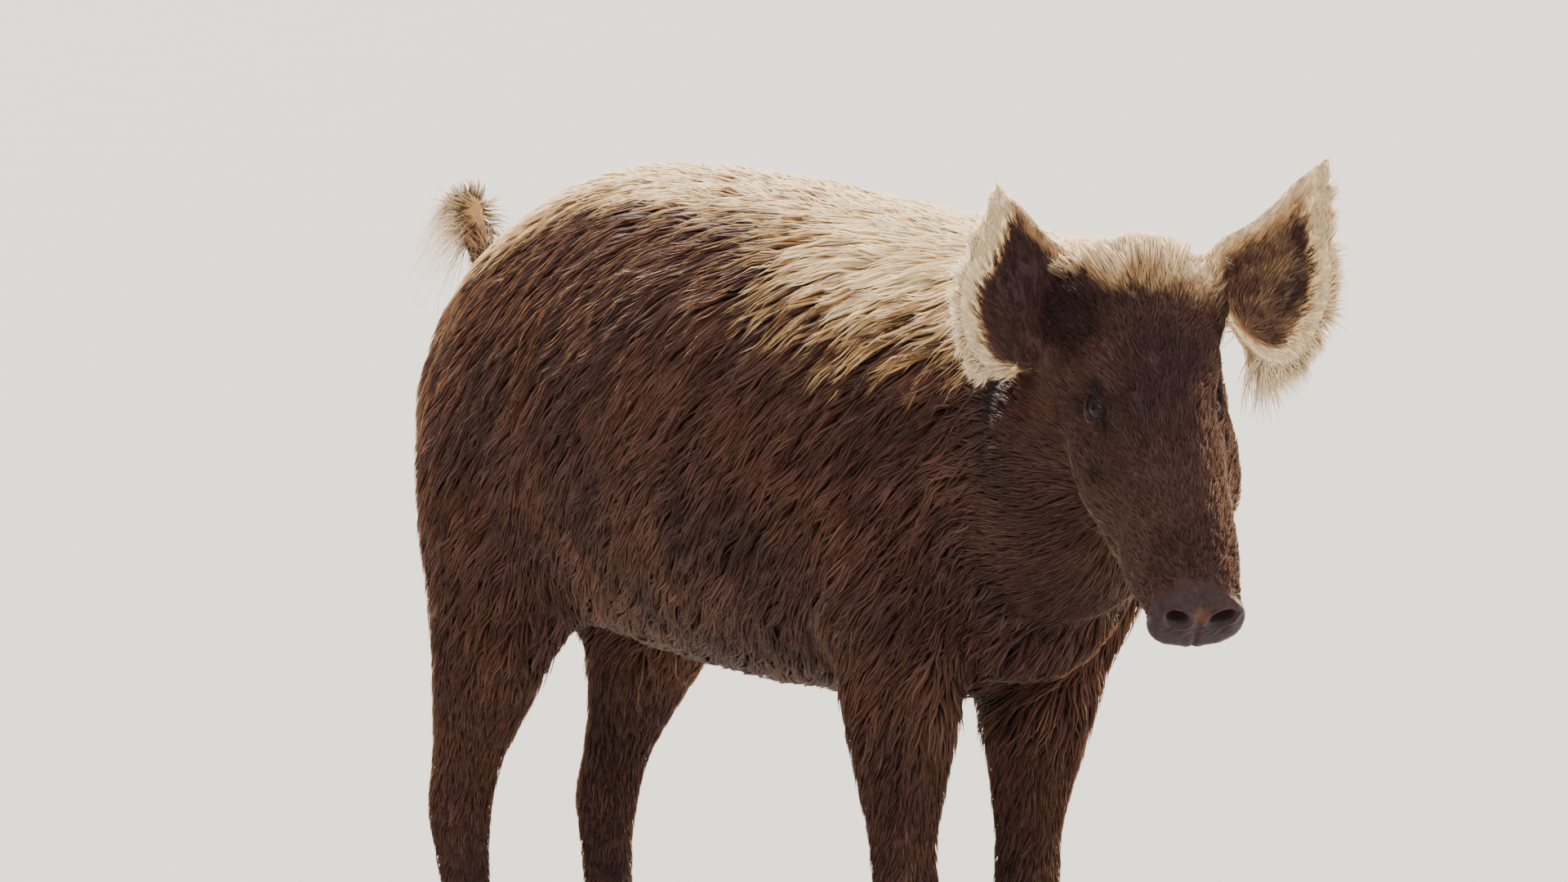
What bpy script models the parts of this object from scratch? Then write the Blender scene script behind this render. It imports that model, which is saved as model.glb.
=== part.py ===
"""A feral pig, Sus scrofa, standing with its head turned to its right: a life-size still model.

The animal faces -Y, its left side is +X, and it stands on z = 0. The solids reach to the tips of
the coat. The trunk, neck, head and legs are lofts and muscle masses, fused into one skin, and that
skin is parted by thin planar cuts. Ears, eyes, snout disc, tail and hooves are shaped on their own.
"""

import math

import bmesh
import bpy
import numpy as np
from mathutils import Matrix, Vector
from mathutils.bvhtree import BVHTree

# Driving dimensions, in metres.
GAP = 0.0003
VOXEL = 0.0075
RIM_MERGE = 0.005
SMOOTH_PASSES = 22
FLESH_TRIANGLES = 4000
POLL = Vector((-0.055, -0.600, 0.726))
HEAD_YAW = math.radians(21)
HEAD_PITCH = math.radians(46.5)
MUZZLE_END = 0.322
DISC_THICKNESS = 0.013
DISC_HEIGHT = -0.056
EYE_RADIUS = 0.0135
EYE_SHOWS = 0.0035
EAR_WALL = 0.008
EAR_COLUMNS = 9
LEG_CUT_Z = 0.326
KNEE_Z = 0.185
HOCK_Z = 0.205
CORONET_Z = 0.044
TOE_SPREAD = 0.0150
NOSTRIL_SPREAD = 0.0165
NOSTRIL_RISE = 0.004
NOSTRIL_RADII = (0.008, 0.0065, 0.0080)
DEWCLAW_LENGTH = 0.026
DEWCLAW_TIP_RADIUS = 0.0040
DEWCLAW_ROOT_RADIUS = 0.0085
DEWCLAW_SPREAD = 0.0150
DEWCLAW_LEAN = math.radians(24)

X, Y, Z = Vector((1, 0, 0)), Vector((0, 1, 0)), Vector((0, 0, 1))
SIDES = ((1, "left"), (-1, "right"))

# The head's own axes: out along the muzzle, to the animal's left, and up out of the forehead.
HEAD_FORWARD = Vector((-math.sin(HEAD_YAW), -math.cos(HEAD_YAW), 0))
HEAD_LEFT = Vector((math.cos(HEAD_YAW), -math.sin(HEAD_YAW), 0))
MUZZLE = HEAD_FORWARD * math.cos(HEAD_PITCH) - Z * math.sin(HEAD_PITCH)
BROW = HEAD_FORWARD * math.sin(HEAD_PITCH) + Z * math.cos(HEAD_PITCH)


def on_head(along, left, up):
    """A point given from the poll: along the muzzle, to the animal's left, and out of the forehead."""
    return POLL + MUZZLE * along + HEAD_LEFT * left + BROW * up


# ---------------------------------------------------------------------------------------------
# Modelling helpers
# ---------------------------------------------------------------------------------------------


def clear_scene():
    for obj in list(bpy.data.objects):
        bpy.data.objects.remove(obj)


def resample(rows, step):
    """Rows of numbers that start with a point, spaced evenly on a smooth curve through them."""
    rows = np.array(rows, float)
    reach = np.r_[0, np.cumsum(np.linalg.norm(np.diff(rows[:, :3], axis=0), axis=1))]
    slopes = np.gradient(rows, reach, axis=0)
    at = np.linspace(0, reach[-1], max(3, round(reach[-1] / step) + 1))
    i = np.clip(np.searchsorted(reach, at) - 1, 0, len(reach) - 2)
    span = (reach[i + 1] - reach[i])[:, None]
    u = ((at - reach[i])[:, None]) / span
    return (
        (2 * u**3 - 3 * u**2 + 1) * rows[i]
        + (u**3 - 2 * u**2 + u) * span * slopes[i]
        + (3 * u**2 - 2 * u**3) * rows[i + 1]
        + (u**3 - u**2) * span * slopes[i + 1]
    )


def loft(bm, stations, side, up, step=0.012, segments=32):
    """A closed tube through unlike sections. A station is x, y, z, half width along side, reach
    along up, reach against up, and squareness: 2 is an ellipse, more is boxier."""
    rows = resample(stations, step)
    rings = []
    for x, y, z, half, above, below, square in rows:
        ring = []
        for k in range(segments):
            turn = 2 * math.pi * k / segments
            c, s = math.cos(turn), math.sin(turn)
            across = math.copysign(abs(c) ** (2 / square), c) * half
            rise = math.copysign(abs(s) ** (2 / square), s) * (above if s > 0 else below)
            ring.append(bm.verts.new(Vector((x, y, z)) + side * across + up * rise))
        rings.append(ring)
    for first, second in zip(rings, rings[1:]):
        for k in range(segments):
            n = (k + 1) % segments
            bm.faces.new((first[k], first[n], second[n], second[k]))
    bm.faces.new(rings[0][::-1])
    bm.faces.new(rings[-1])


def mass(bm, centre, radii, axes, segments=24):
    """An ellipsoid of muscle or fat, with its radii along three axes."""
    turn = Matrix([axes[i] for i in range(3)]).transposed().to_4x4()
    place = Matrix.Translation(centre) @ turn @ Matrix.Diagonal((*radii, 1))
    bmesh.ops.create_uvsphere(
        bm, u_segments=segments, v_segments=segments // 2, radius=1, matrix=place
    )


def new_object(name, bm, collection):
    mesh = bpy.data.meshes.new(name)
    bmesh.ops.recalc_face_normals(bm, faces=bm.faces[:])
    bm.to_mesh(mesh)
    bm.free()
    obj = bpy.data.objects.new(name, mesh)
    collection.objects.link(obj)
    return obj


def evaluated_bmesh(obj):
    """The object with its modifiers, as a bmesh in world space. The object is removed."""
    bpy.context.view_layer.update()
    graph = bpy.context.evaluated_depsgraph_get()
    mesh = bpy.data.meshes.new_from_object(obj.evaluated_get(graph))
    mesh.transform(obj.matrix_world)
    bm = bmesh.new()
    bm.from_mesh(mesh)
    bpy.data.meshes.remove(mesh)
    bpy.data.objects.remove(obj)
    return bm


def relax(bm, passes):
    """Evens out creases without thinning the legs: each pass smooths, then swells back."""
    bm.verts.ensure_lookup_table()
    points = np.array([v.co for v in bm.verts])
    ends = np.array([(e.verts[0].index, e.verts[1].index) for e in bm.edges])
    count = np.bincount(ends.ravel(), minlength=len(points))[:, None]
    for _ in range(passes):
        for strength in (0.55, -0.56):
            total = np.zeros_like(points)
            np.add.at(total, ends[:, 0], points[ends[:, 1]])
            np.add.at(total, ends[:, 1], points[ends[:, 0]])
            points += strength * (total / count - points)
    for v, p in zip(bm.verts, points):
        v.co = p


def keep_side(bm, point, away, gap=GAP / 2):
    """Cuts at a plane, keeps what is not on the side that away points to, and caps the cut."""
    geometry = bm.verts[:] + bm.edges[:] + bm.faces[:]
    bmesh.ops.bisect_plane(
        bm, geom=geometry, dist=1e-6, plane_co=point - away * gap, plane_no=away, clear_outer=True
    )
    rim = {v for e in bm.edges if e.is_boundary for v in e.verts}
    bmesh.ops.remove_doubles(bm, verts=list(rim), dist=RIM_MERGE)
    bmesh.ops.holes_fill(bm, edges=[e for e in bm.edges if e.is_boundary], sides=0)
    bmesh.ops.triangulate(bm, faces=[f for f in bm.faces if len(f.verts) > 4])
    return bm


def split(bm, point, ahead):
    """A thin planar cut: what lies behind the plane, and what lies on the side ahead points to."""
    ahead = ahead.normalized()
    return keep_side(bm.copy(), point, ahead), keep_side(bm, point, -ahead)


def island_near(bm, point):
    """Keeps the connected piece with the vertex nearest to point."""
    bm.verts.ensure_lookup_table()
    start = min(bm.verts, key=lambda v: (v.co - point).length)
    seen, queue = {start}, [start]
    while queue:
        for edge in queue.pop().link_edges:
            for v in edge.verts:
                if v not in seen:
                    seen.add(v)
                    queue.append(v)
    bmesh.ops.delete(bm, geom=[v for v in bm.verts if v not in seen], context="VERTS")
    return bm


def cut_away(obj, tool, cutters, swell=GAP):
    """Takes tool, swollen by the gap, out of obj. The cutter is a copy, so tool stays a part."""
    cutter = bpy.data.objects.new(f"cutter_{tool.name}_{obj.name}", tool.data)
    cutters.objects.link(cutter)
    cutter.matrix_basis = tool.matrix_basis
    cutter.hide_render = True
    cutter.display_type = "WIRE"
    push = cutter.modifiers.new("swell", "DISPLACE")
    push.strength = swell
    push.mid_level = 0
    difference = obj.modifiers.new(f"clear_{tool.name}", "BOOLEAN")
    difference.operation = "DIFFERENCE"
    difference.object = cutter


# ---------------------------------------------------------------------------------------------
# The animal's masses
# ---------------------------------------------------------------------------------------------


def trunk(bm):
    """From the buttocks to the nape. The columns are centre x, y, z, half width, rise, drop,
    squareness."""
    stations = [
        (0.000, 0.480, 0.565, 0.028, 0.050, 0.060, 2.0),  # under the tail
        (0.000, 0.455, 0.525, 0.080, 0.120, 0.110, 1.9),  # buttock
        (0.000, 0.405, 0.515, 0.112, 0.166, 0.130, 1.9),  # hips
        (0.000, 0.320, 0.520, 0.138, 0.200, 0.150, 2.0),  # croup
        (0.000, 0.220, 0.530, 0.150, 0.219, 0.172, 2.0),  # rump
        (0.000, 0.120, 0.543, 0.160, 0.210, 0.196, 2.1),  # loin
        (0.000, 0.020, 0.550, 0.167, 0.199, 0.210, 2.2),  # flank
        (0.000, -0.080, 0.548, 0.170, 0.193, 0.213, 2.2),  # barrel
        (0.000, -0.190, 0.543, 0.160, 0.190, 0.206, 2.2),  # girth
        (-0.002, -0.290, 0.542, 0.146, 0.182, 0.190, 2.2),  # shoulder
        (-0.008, -0.380, 0.550, 0.126, 0.170, 0.166, 2.1),  # base of the neck
        (-0.020, -0.460, 0.566, 0.110, 0.152, 0.150, 2.1),  # neck
        (-0.038, -0.540, 0.586, 0.096, 0.134, 0.130, 2.0),  # nape
        (-0.054, -0.600, 0.600, 0.068, 0.098, 0.095, 2.0),  # inside the skull
    ]
    loft(bm, stations, X, Z, segments=40)
    for side in (-1, 1):
        mass(bm, Vector((side * 0.088, -0.285, 0.500)), (0.062, 0.105, 0.140), (X, Y, Z))
        mass(bm, Vector((side * 0.084, 0.296, 0.470)), (0.062, 0.120, 0.150), (X, Y, Z))
        mass(bm, Vector((side * 0.056, 0.378, 0.428)), (0.045, 0.060, 0.100), (X, Y, Z))  # ham
    mass(bm, Vector((-0.004, -0.358, 0.458)), (0.092, 0.090, 0.100), (X, Y, Z))  # brisket


def skull(bm):
    """From the back of the skull to the muzzle, in sections across the muzzle's own axis. The
    columns are distance from the poll, height of the axis, half width, rise, drop, squareness."""
    sections = [
        (-0.020, -0.082, 0.054, 0.050, 0.080, 2.0),  # inside the neck
        (0.000, -0.080, 0.064, 0.079, 0.100, 2.1),  # poll
        (0.040, -0.076, 0.064, 0.078, 0.118, 2.2),  # ears
        (0.090, -0.076, 0.060, 0.077, 0.118, 2.2),  # temples
        (0.135, -0.074, 0.053, 0.073, 0.108, 2.2),  # eyes
        (0.180, -0.070, 0.048, 0.063, 0.092, 2.2),  # cheekbones end
        (0.225, -0.062, 0.044, 0.051, 0.072, 2.2),  # bridge of the nose
        (0.268, -0.056, 0.042, 0.041, 0.052, 2.2),  # nose
        (0.302, -0.054, 0.038, 0.034, 0.036, 2.1),  # behind the disc
        (0.330, -0.055, 0.036, 0.029, 0.031, 2.1),
    ]
    stations = [
        (*on_head(along, 0, axis), half, rise, drop, square)
        for along, axis, half, rise, drop, square in sections
    ]
    loft(bm, stations, HEAD_LEFT, BROW, segments=36)
    axes = (MUZZLE, HEAD_LEFT, BROW)
    for side in (-1, 1):
        mass(bm, on_head(0.066, side * 0.038, -0.128), (0.078, 0.040, 0.060), axes)  # jowl
        mass(bm, on_head(0.150, side * 0.046, -0.078), (0.070, 0.020, 0.026), axes)  # cheekbone
        mass(bm, on_head(0.104, side * 0.034, -0.024), (0.036, 0.018, 0.015), axes)  # brow
        mass(bm, on_head(0.030, side * 0.040, -0.046), (0.046, 0.030, 0.038), axes)  # ear root
        mass(bm, on_head(0.252, side * 0.028, -0.066), (0.060, 0.018, 0.028), axes)  # upper lip
    mass(bm, on_head(0.250, 0, -0.098), (0.052, 0.028, 0.021), axes)  # chin


# A leg's columns are height, y of its centre, half width, reach forward, reach back.
FORELEG = [
    (0.470, -0.280, 0.044, 0.090, 0.080),
    (0.390, -0.282, 0.046, 0.082, 0.064),
    (0.340, -0.284, 0.042, 0.068, 0.050),
    (0.280, -0.288, 0.033, 0.047, 0.039),
    (0.225, -0.292, 0.026, 0.028, 0.029),
    (0.185, -0.296, 0.027, 0.029, 0.027),  # knee
    (0.145, -0.292, 0.021, 0.021, 0.022),
    (0.100, -0.288, 0.021, 0.022, 0.023),
    (0.072, -0.290, 0.026, 0.025, 0.027),  # fetlock
    (0.044, -0.298, 0.028, 0.026, 0.026),  # coronet
    (0.034, -0.300, 0.027, 0.025, 0.025),
]
HINDLEG = [
    (0.500, 0.285, 0.050, 0.108, 0.110),
    (0.420, 0.302, 0.052, 0.108, 0.092),
    (0.350, 0.322, 0.045, 0.084, 0.070),
    (0.290, 0.344, 0.035, 0.057, 0.050),
    (0.240, 0.366, 0.027, 0.038, 0.036),
    (0.205, 0.376, 0.026, 0.031, 0.035),  # hock
    (0.160, 0.372, 0.022, 0.024, 0.026),
    (0.105, 0.360, 0.021, 0.023, 0.023),
    (0.072, 0.354, 0.025, 0.025, 0.027),  # fetlock
    (0.044, 0.344, 0.028, 0.026, 0.026),  # coronet
    (0.034, 0.342, 0.026, 0.024, 0.024),
]
FETLOCK_ROW, CORONET_ROW = 8, 9
# Each leg: its columns, the height of its knee or hock, its side, the distance of its foot from the
# middle, and how far the foot is set forward, which is -Y, of the plain stance.
LEGS = {
    "foreleg_left": (FORELEG, KNEE_Z, 1, 0.067, -0.065),
    "foreleg_right": (FORELEG, KNEE_Z, -1, 0.074, 0.010),
    "hindleg_left": (HINDLEG, HOCK_Z, 1, 0.082, -0.065),
    "hindleg_right": (HINDLEG, HOCK_Z, -1, 0.086, 0.005),
}


def leg_point(name, z, y):
    """Where a point of the plain leg stands, once the foot is set forward or back."""
    columns, _, side, spread, set_forward = LEGS[name]
    top = columns[0][0]
    swing = ((top - z) / top) ** 1.1
    return Vector((side * spread, y - set_forward * swing, z))


def leg(bm, name):
    stations = [
        (*leg_point(name, z, y), half, front, back, 2.1)
        for z, y, half, front, back in LEGS[name][0]
    ]
    loft(bm, stations, X, -Y, step=0.010, segments=24)


def fused_flesh(collection):
    """All the masses as one closed, even mesh, in as few triangles as its shape needs."""
    bm = bmesh.new()
    trunk(bm)
    skull(bm)
    for name in LEGS:
        leg(bm, name)
    rough = new_object("rough_flesh", bm, collection)
    fuse = rough.modifiers.new("fuse", "REMESH")
    fuse.mode = "VOXEL"
    fuse.voxel_size = VOXEL
    bm = evaluated_bmesh(rough)
    relax(bm, SMOOTH_PASSES)
    bmesh.ops.triangulate(bm, faces=bm.faces[:])
    count = len(bm.faces)
    dense = new_object("dense_flesh", bm, collection)
    thin = dense.modifiers.new("thin", "DECIMATE")
    thin.ratio = FLESH_TRIANGLES / count
    return evaluated_bmesh(dense)


# ---------------------------------------------------------------------------------------------
# Thin cuts
# ---------------------------------------------------------------------------------------------


# Each cut is a point of its plane and the way ahead across it. The last two are for the left side.
NECK_CUT = Vector((0, -0.385, 0.560)), Vector((0, -0.97, 0.23))
NAPE_CUT = Vector((-0.040, -0.548, 0.640)), Vector((-0.22, -0.90, -0.38))
JAW_CUT = on_head(0.300, 0, -0.093), MUZZLE * 0.185 - BROW
CHEST_CUT = Vector((0, -0.13, 0)), -Y
RUMP_CUT = Vector((0, 0.13, 0)), Y
SHOULDER_CUT = Vector((0.020, 0, 0.335)), Vector((0.110, 0, -0.150))
THIGH_CUT = Vector((0.018, 0, 0.332)), Vector((0.130, 0, -0.150))


def sideways(cut, side):
    """A cut given for the left, on the side asked for."""
    return [Vector((side * v.x, v.y, v.z)) for v in cut]


def parted_flesh(flesh):
    """The flesh as one body for each part that a person would name."""
    parts = {}
    body, front = split(flesh, *NECK_CUT)
    parts["neck"], head = split(front, *NAPE_CUT)
    keep_side(head, on_head(MUZZLE_END, 0, 0), MUZZLE)
    parts["head"], parts["lower_jaw"] = split(head, *JAW_CUT)
    body, legs = split(body, Vector((0, 0, LEG_CUT_Z)), -Z)
    for name, (columns, joint_z, *_) in LEGS.items():
        foot = leg_point(name, *columns[-1][:2])
        upper, lower = split(island_near(legs.copy(), foot), Vector((0, 0, joint_z)), -Z)
        parts[f"{name}_upper"] = upper
        parts[f"{name}_lower"] = keep_side(lower, Vector((0, 0, CORONET_Z)), -Z)
    legs.free()
    body, rump = split(body, *RUMP_CUT)
    parts["barrel"], chest = split(body, *CHEST_CUT)
    for side, word in SIDES:
        chest, parts[f"shoulder_{word}"] = split(chest, *sideways(SHOULDER_CUT, side))
        rump, parts[f"thigh_{word}"] = split(rump, *sideways(THIGH_CUT, side))
    parts["chest"] = chest
    parts["rump"] = rump
    return parts


# ---------------------------------------------------------------------------------------------
# Pieces shaped on their own
# ---------------------------------------------------------------------------------------------


# The ear's outline, from its root to its tip. The columns are, for each row across the ear, how
# far its inner end is up the ear and to the side, the same for its outer end, and how deep the
# cup is there.
EAR_ROWS = [
    (0.006, -0.008, -0.026, 0.046, 0.026),
    (0.022, -0.033, -0.023, 0.064, 0.034),
    (0.040, -0.037, -0.007, 0.080, 0.034),
    (0.056, -0.026, 0.021, 0.084, 0.029),
    (0.073, -0.016, 0.051, 0.081, 0.024),
    (0.094, -0.008, 0.079, 0.069, 0.018),
    (0.112, -0.003, 0.103, 0.045, 0.011),
    (0.127, 0.003, 0.124, 0.024, 0.006),
    (0.143, 0.008, 0.143, 0.014, 0.002),
]
EAR_ROOT = {1: (0.045, 0.069, -0.040), -1: (0.061, -0.063, -0.034)}
# Each ear stands its own way: out to its side, forward and up for its axis, then for its opening.
EAR_POSE = {
    1: ((0.51, -0.11, 0.85), (0.26, 0.97, -0.03)),
    -1: ((0.17, -0.63, 0.76), (0.40, 0.74, 0.53)),
}


def ear(name, side, collection):
    """A pointed leaf, cupped and open to the front: rows across it, given a thickness."""
    axis, opening = (
        HEAD_LEFT * side * out + HEAD_FORWARD * forward + Z * up
        for out, forward, up in EAR_POSE[side]
    )
    axis.normalize()
    opening = (opening - axis * opening.dot(axis)).normalized()
    outward = axis.cross(opening).normalized()
    if outward.dot(HEAD_LEFT) * side < 0:
        outward.negate()
    root = on_head(*EAR_ROOT[side])
    bm = bmesh.new()
    grid = []
    for inner_s, inner_t, outer_s, outer_t, deep in EAR_ROWS:
        row = []
        for j in range(EAR_COLUMNS):
            v = j / (EAR_COLUMNS - 1)
            s = inner_s + (outer_s - inner_s) * v
            t = inner_t + (outer_t - inner_t) * v
            cup = deep * math.sin(math.pi * v) ** 0.7
            row.append(bm.verts.new(root + axis * s + outward * t - opening * cup))
        grid.append(row)
    for lower, upper in zip(grid, grid[1:]):
        for j in range(EAR_COLUMNS - 1):
            bm.faces.new((lower[j], lower[j + 1], upper[j + 1], upper[j]))
    obj = new_object(name, bm, collection)
    wall = obj.modifiers.new("thickness", "SOLIDIFY")
    wall.thickness = EAR_WALL
    wall.offset = 0
    return obj


def eye(name, side, head_surface, collection):
    """A ball set into the head so that only its front shows."""
    inside = on_head(0.132, side * 0.018, -0.058)
    outward = (MUZZLE * 0.12 + HEAD_LEFT * side * 0.86 + BROW * 0.50).normalized()
    surface = head_surface.ray_cast(inside, outward)[0]
    bm = bmesh.new()
    bmesh.ops.create_uvsphere(bm, u_segments=12, v_segments=8, radius=EYE_RADIUS)
    obj = new_object(name, bm, collection)
    obj.location = surface - outward * (EYE_RADIUS - EYE_SHOWS)
    obj.rotation_euler = outward.to_track_quat("Z", "Y").to_euler()
    return obj


def snout_disc(collection, cutters):
    """The flat oval end of the muzzle, with two nostrils sunk in it."""
    sections = [
        (MUZZLE_END + GAP, 0.0350, 0.0285, 0.0290, 2.2),
        (MUZZLE_END + 0.005, 0.0380, 0.0300, 0.0300, 2.3),
        (MUZZLE_END + 0.010, 0.0380, 0.0295, 0.0300, 2.3),
        (MUZZLE_END + DISC_THICKNESS, 0.0345, 0.0260, 0.0270, 2.3),
    ]
    stations = [
        (*on_head(along, 0, DISC_HEIGHT), half, rise, drop, square)
        for along, half, rise, drop, square in sections
    ]
    bm = bmesh.new()
    loft(bm, stations, HEAD_LEFT, BROW, step=0.0045, segments=24)
    disc = new_object("snout_disc", bm, collection)
    for side, word in SIDES:
        bm = bmesh.new()
        place = on_head(
            MUZZLE_END + DISC_THICKNESS, side * NOSTRIL_SPREAD, DISC_HEIGHT + NOSTRIL_RISE
        )
        mass(bm, place, NOSTRIL_RADII, (MUZZLE, HEAD_LEFT, BROW), segments=12)
        nostril = new_object(f"nostril_{word}", bm, cutters)
        nostril.hide_render = True
        nostril.display_type = "WIRE"
        hollow = disc.modifiers.new(nostril.name, "BOOLEAN")
        hollow.operation = "DIFFERENCE"
        hollow.object = nostril
    return disc


# The tail's way from inside the rump to its tip, and its radius with the hair on it.
TAIL = [
    (0.000, 0.446, 0.616, 0.018),
    (0.000, 0.466, 0.640, 0.017),
    (0.000, 0.483, 0.663, 0.015),
    (0.002, 0.497, 0.686, 0.016),
    (0.005, 0.512, 0.704, 0.018),
    (0.009, 0.532, 0.711, 0.015),
    (0.012, 0.551, 0.703, 0.008),
]


def tail(collection):
    """Three lengths of the raised tail, parted by thin cuts across it."""
    bm = bmesh.new()
    stations = [(x, y, z, r, r, r, 2.0) for x, y, z, r in TAIL]
    loft(bm, stations, X, Vector((0, -0.80, 0.60)), step=0.014, segments=10)
    lengths = []
    for (x0, y0, z0, _), (x1, y1, z1, _) in ((TAIL[2], TAIL[3]), (TAIL[3], TAIL[4])):
        start, end = Vector((x0, y0, z0)), Vector((x1, y1, z1))
        length, bm = split(bm, (start + end) / 2, end - start)
        lengths.append(length)
    names = ("tail_base", "tail_middle", "tail_tip")
    return [new_object(name, bm, collection) for name, bm in zip(names, lengths + [bm])]


def hoof_mesh(name, scale):
    """One toe: a flat sole, a wall that leans back, and a top as wide as the coronet."""
    stations = [
        (0, -0.007, 0.0000, 0.0135, 0.0300, 0.0280, 2.6),
        (0, -0.005, 0.0160, 0.0138, 0.0265, 0.0275, 2.5),
        (0, 0.000, CORONET_Z - GAP / 2, 0.0128, 0.0225, 0.0235, 2.2),
    ]
    stations = [
        (x, y * scale, z, half * scale, front * scale, back * scale, square)
        for x, y, z, half, front, back, square in stations
    ]
    bm = bmesh.new()
    loft(bm, stations, X, -Y, step=0.022, segments=14)
    bmesh.ops.recalc_face_normals(bm, faces=bm.faces[:])
    mesh = bpy.data.meshes.new(name)
    bm.to_mesh(mesh)
    bm.free()
    return mesh


def foot(leg_name, mesh, shank, collection, cutters):
    """Two hooves under the coronet and two dewclaws behind the fetlock."""
    columns = LEGS[leg_name][0]
    coronet = leg_point(leg_name, *columns[CORONET_ROW][:2])
    fetlock = leg_point(leg_name, *columns[FETLOCK_ROW][:2])
    reach_back = columns[FETLOCK_ROW][4]
    made = {"hoof": [], "dewclaw": []}
    for side, word in SIDES:
        hoof = bpy.data.objects.new(f"{leg_name}_hoof_{word}", mesh)
        collection.objects.link(hoof)
        hoof.location = (coronet.x + side * TOE_SPREAD, coronet.y, 0)
        made["hoof"].append(hoof)
        bm = bmesh.new()
        bmesh.ops.create_cone(
            bm,
            cap_ends=True,
            segments=10,
            radius1=DEWCLAW_TIP_RADIUS,
            radius2=DEWCLAW_ROOT_RADIUS,
            depth=DEWCLAW_LENGTH,
        )
        claw = new_object(f"{leg_name}_dewclaw_{word}", bm, collection)
        claw.location = fetlock + Vector((side * DEWCLAW_SPREAD, reach_back - 0.002, -0.006))
        claw.rotation_euler = (DEWCLAW_LEAN, 0, 0)
        cut_away(claw, shank, cutters)
        made["dewclaw"].append(claw)
    return made


def material(name, colour, roughness):
    """Hair, hide, horn and the wet eye: none of them is metal."""
    made = bpy.data.materials.new(name)
    made.use_nodes = True
    shader = made.node_tree.nodes["Principled BSDF"]
    shader.inputs["Base Color"].default_value = (*colour, 1)
    shader.inputs["Roughness"].default_value = roughness
    shader.inputs["Metallic"].default_value = 0
    return made


# Colour and roughness of each kind of surface.
FINISHES = {
    "coat": ((0.30, 0.125, 0.050), 0.85),
    "face": ((0.24, 0.110, 0.055), 0.85),
    "ear": ((0.42, 0.210, 0.110), 0.80),
    "snout": ((0.30, 0.170, 0.130), 0.50),
    "eye": ((0.020, 0.012, 0.008), 0.08),
    "hoof": ((0.060, 0.045, 0.035), 0.45),
}


def finish(obj, kind):
    """Gives the object a material of its own and smooth shading."""
    obj.data.materials.clear()
    obj.data.materials.append(material(f"{obj.name}_{kind}", *FINISHES[kind]))
    obj.data.shade_smooth()
    obj.data.set_sharp_from_angle(angle=math.radians(50))


def stand_on_origin(objects, cutters):
    """Parents it all to an empty, which puts the middle of the objects' box over the origin."""
    bpy.context.view_layer.update()
    graph = bpy.context.evaluated_depsgraph_get()
    corners = []
    for obj in objects:
        evaluated = obj.evaluated_get(graph)
        corners += [evaluated.matrix_world @ Vector(corner) for corner in evaluated.bound_box]
    lowest, highest = np.min(corners, axis=0), np.max(corners, axis=0)
    stance = bpy.data.objects.new("stance", None)
    bpy.context.scene.collection.objects.link(stance)
    for obj in objects + cutters:
        obj.parent = stance
    stance.location = (-(lowest[0] + highest[0]) / 2, -(lowest[1] + highest[1]) / 2, 0)


def main():
    clear_scene()
    pig = bpy.data.collections.new("feral_pig")
    cutters = bpy.data.collections.new("cutters")
    for collection in (pig, cutters):
        bpy.context.scene.collection.children.link(collection)

    parts = parted_flesh(fused_flesh(pig))
    head_surface = BVHTree.FromBMesh(parts["head"])
    flesh = {name: new_object(name, bm, pig) for name, bm in parts.items()}
    for name, obj in flesh.items():
        finish(obj, "face" if name in ("head", "lower_jaw") else "coat")

    finish(snout_disc(pig, cutters), "snout")
    for obj in tail(pig):
        finish(obj, "coat")
        if obj.name == "tail_base":
            cut_away(obj, flesh["rump"], cutters)
    for side, word in SIDES:
        pinna = ear(f"ear_{word}", side, pig)
        finish(pinna, "ear")
        for name in ("head", "neck"):
            cut_away(pinna, flesh[name], cutters)
    for side, word in SIDES:
        ball = eye(f"eye_{word}", side, head_surface, pig)
        finish(ball, "eye")
        cut_away(flesh["head"], ball, cutters)
    toes = {FORELEG[0]: hoof_mesh("fore_toe", 1.0), HINDLEG[0]: hoof_mesh("hind_toe", 0.94)}
    for name, (columns, *_) in LEGS.items():
        made = foot(name, toes[columns[0]], flesh[f"{name}_lower"], pig, cutters)
        for obj in made["hoof"] + made["dewclaw"]:
            finish(obj, "hoof")
    stand_on_origin(list(pig.objects), list(cutters.objects))


main()
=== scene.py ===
import itertools
import math

import bmesh
import bpy
import numpy as np
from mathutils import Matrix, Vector
from mathutils.kdtree import KDTree


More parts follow.
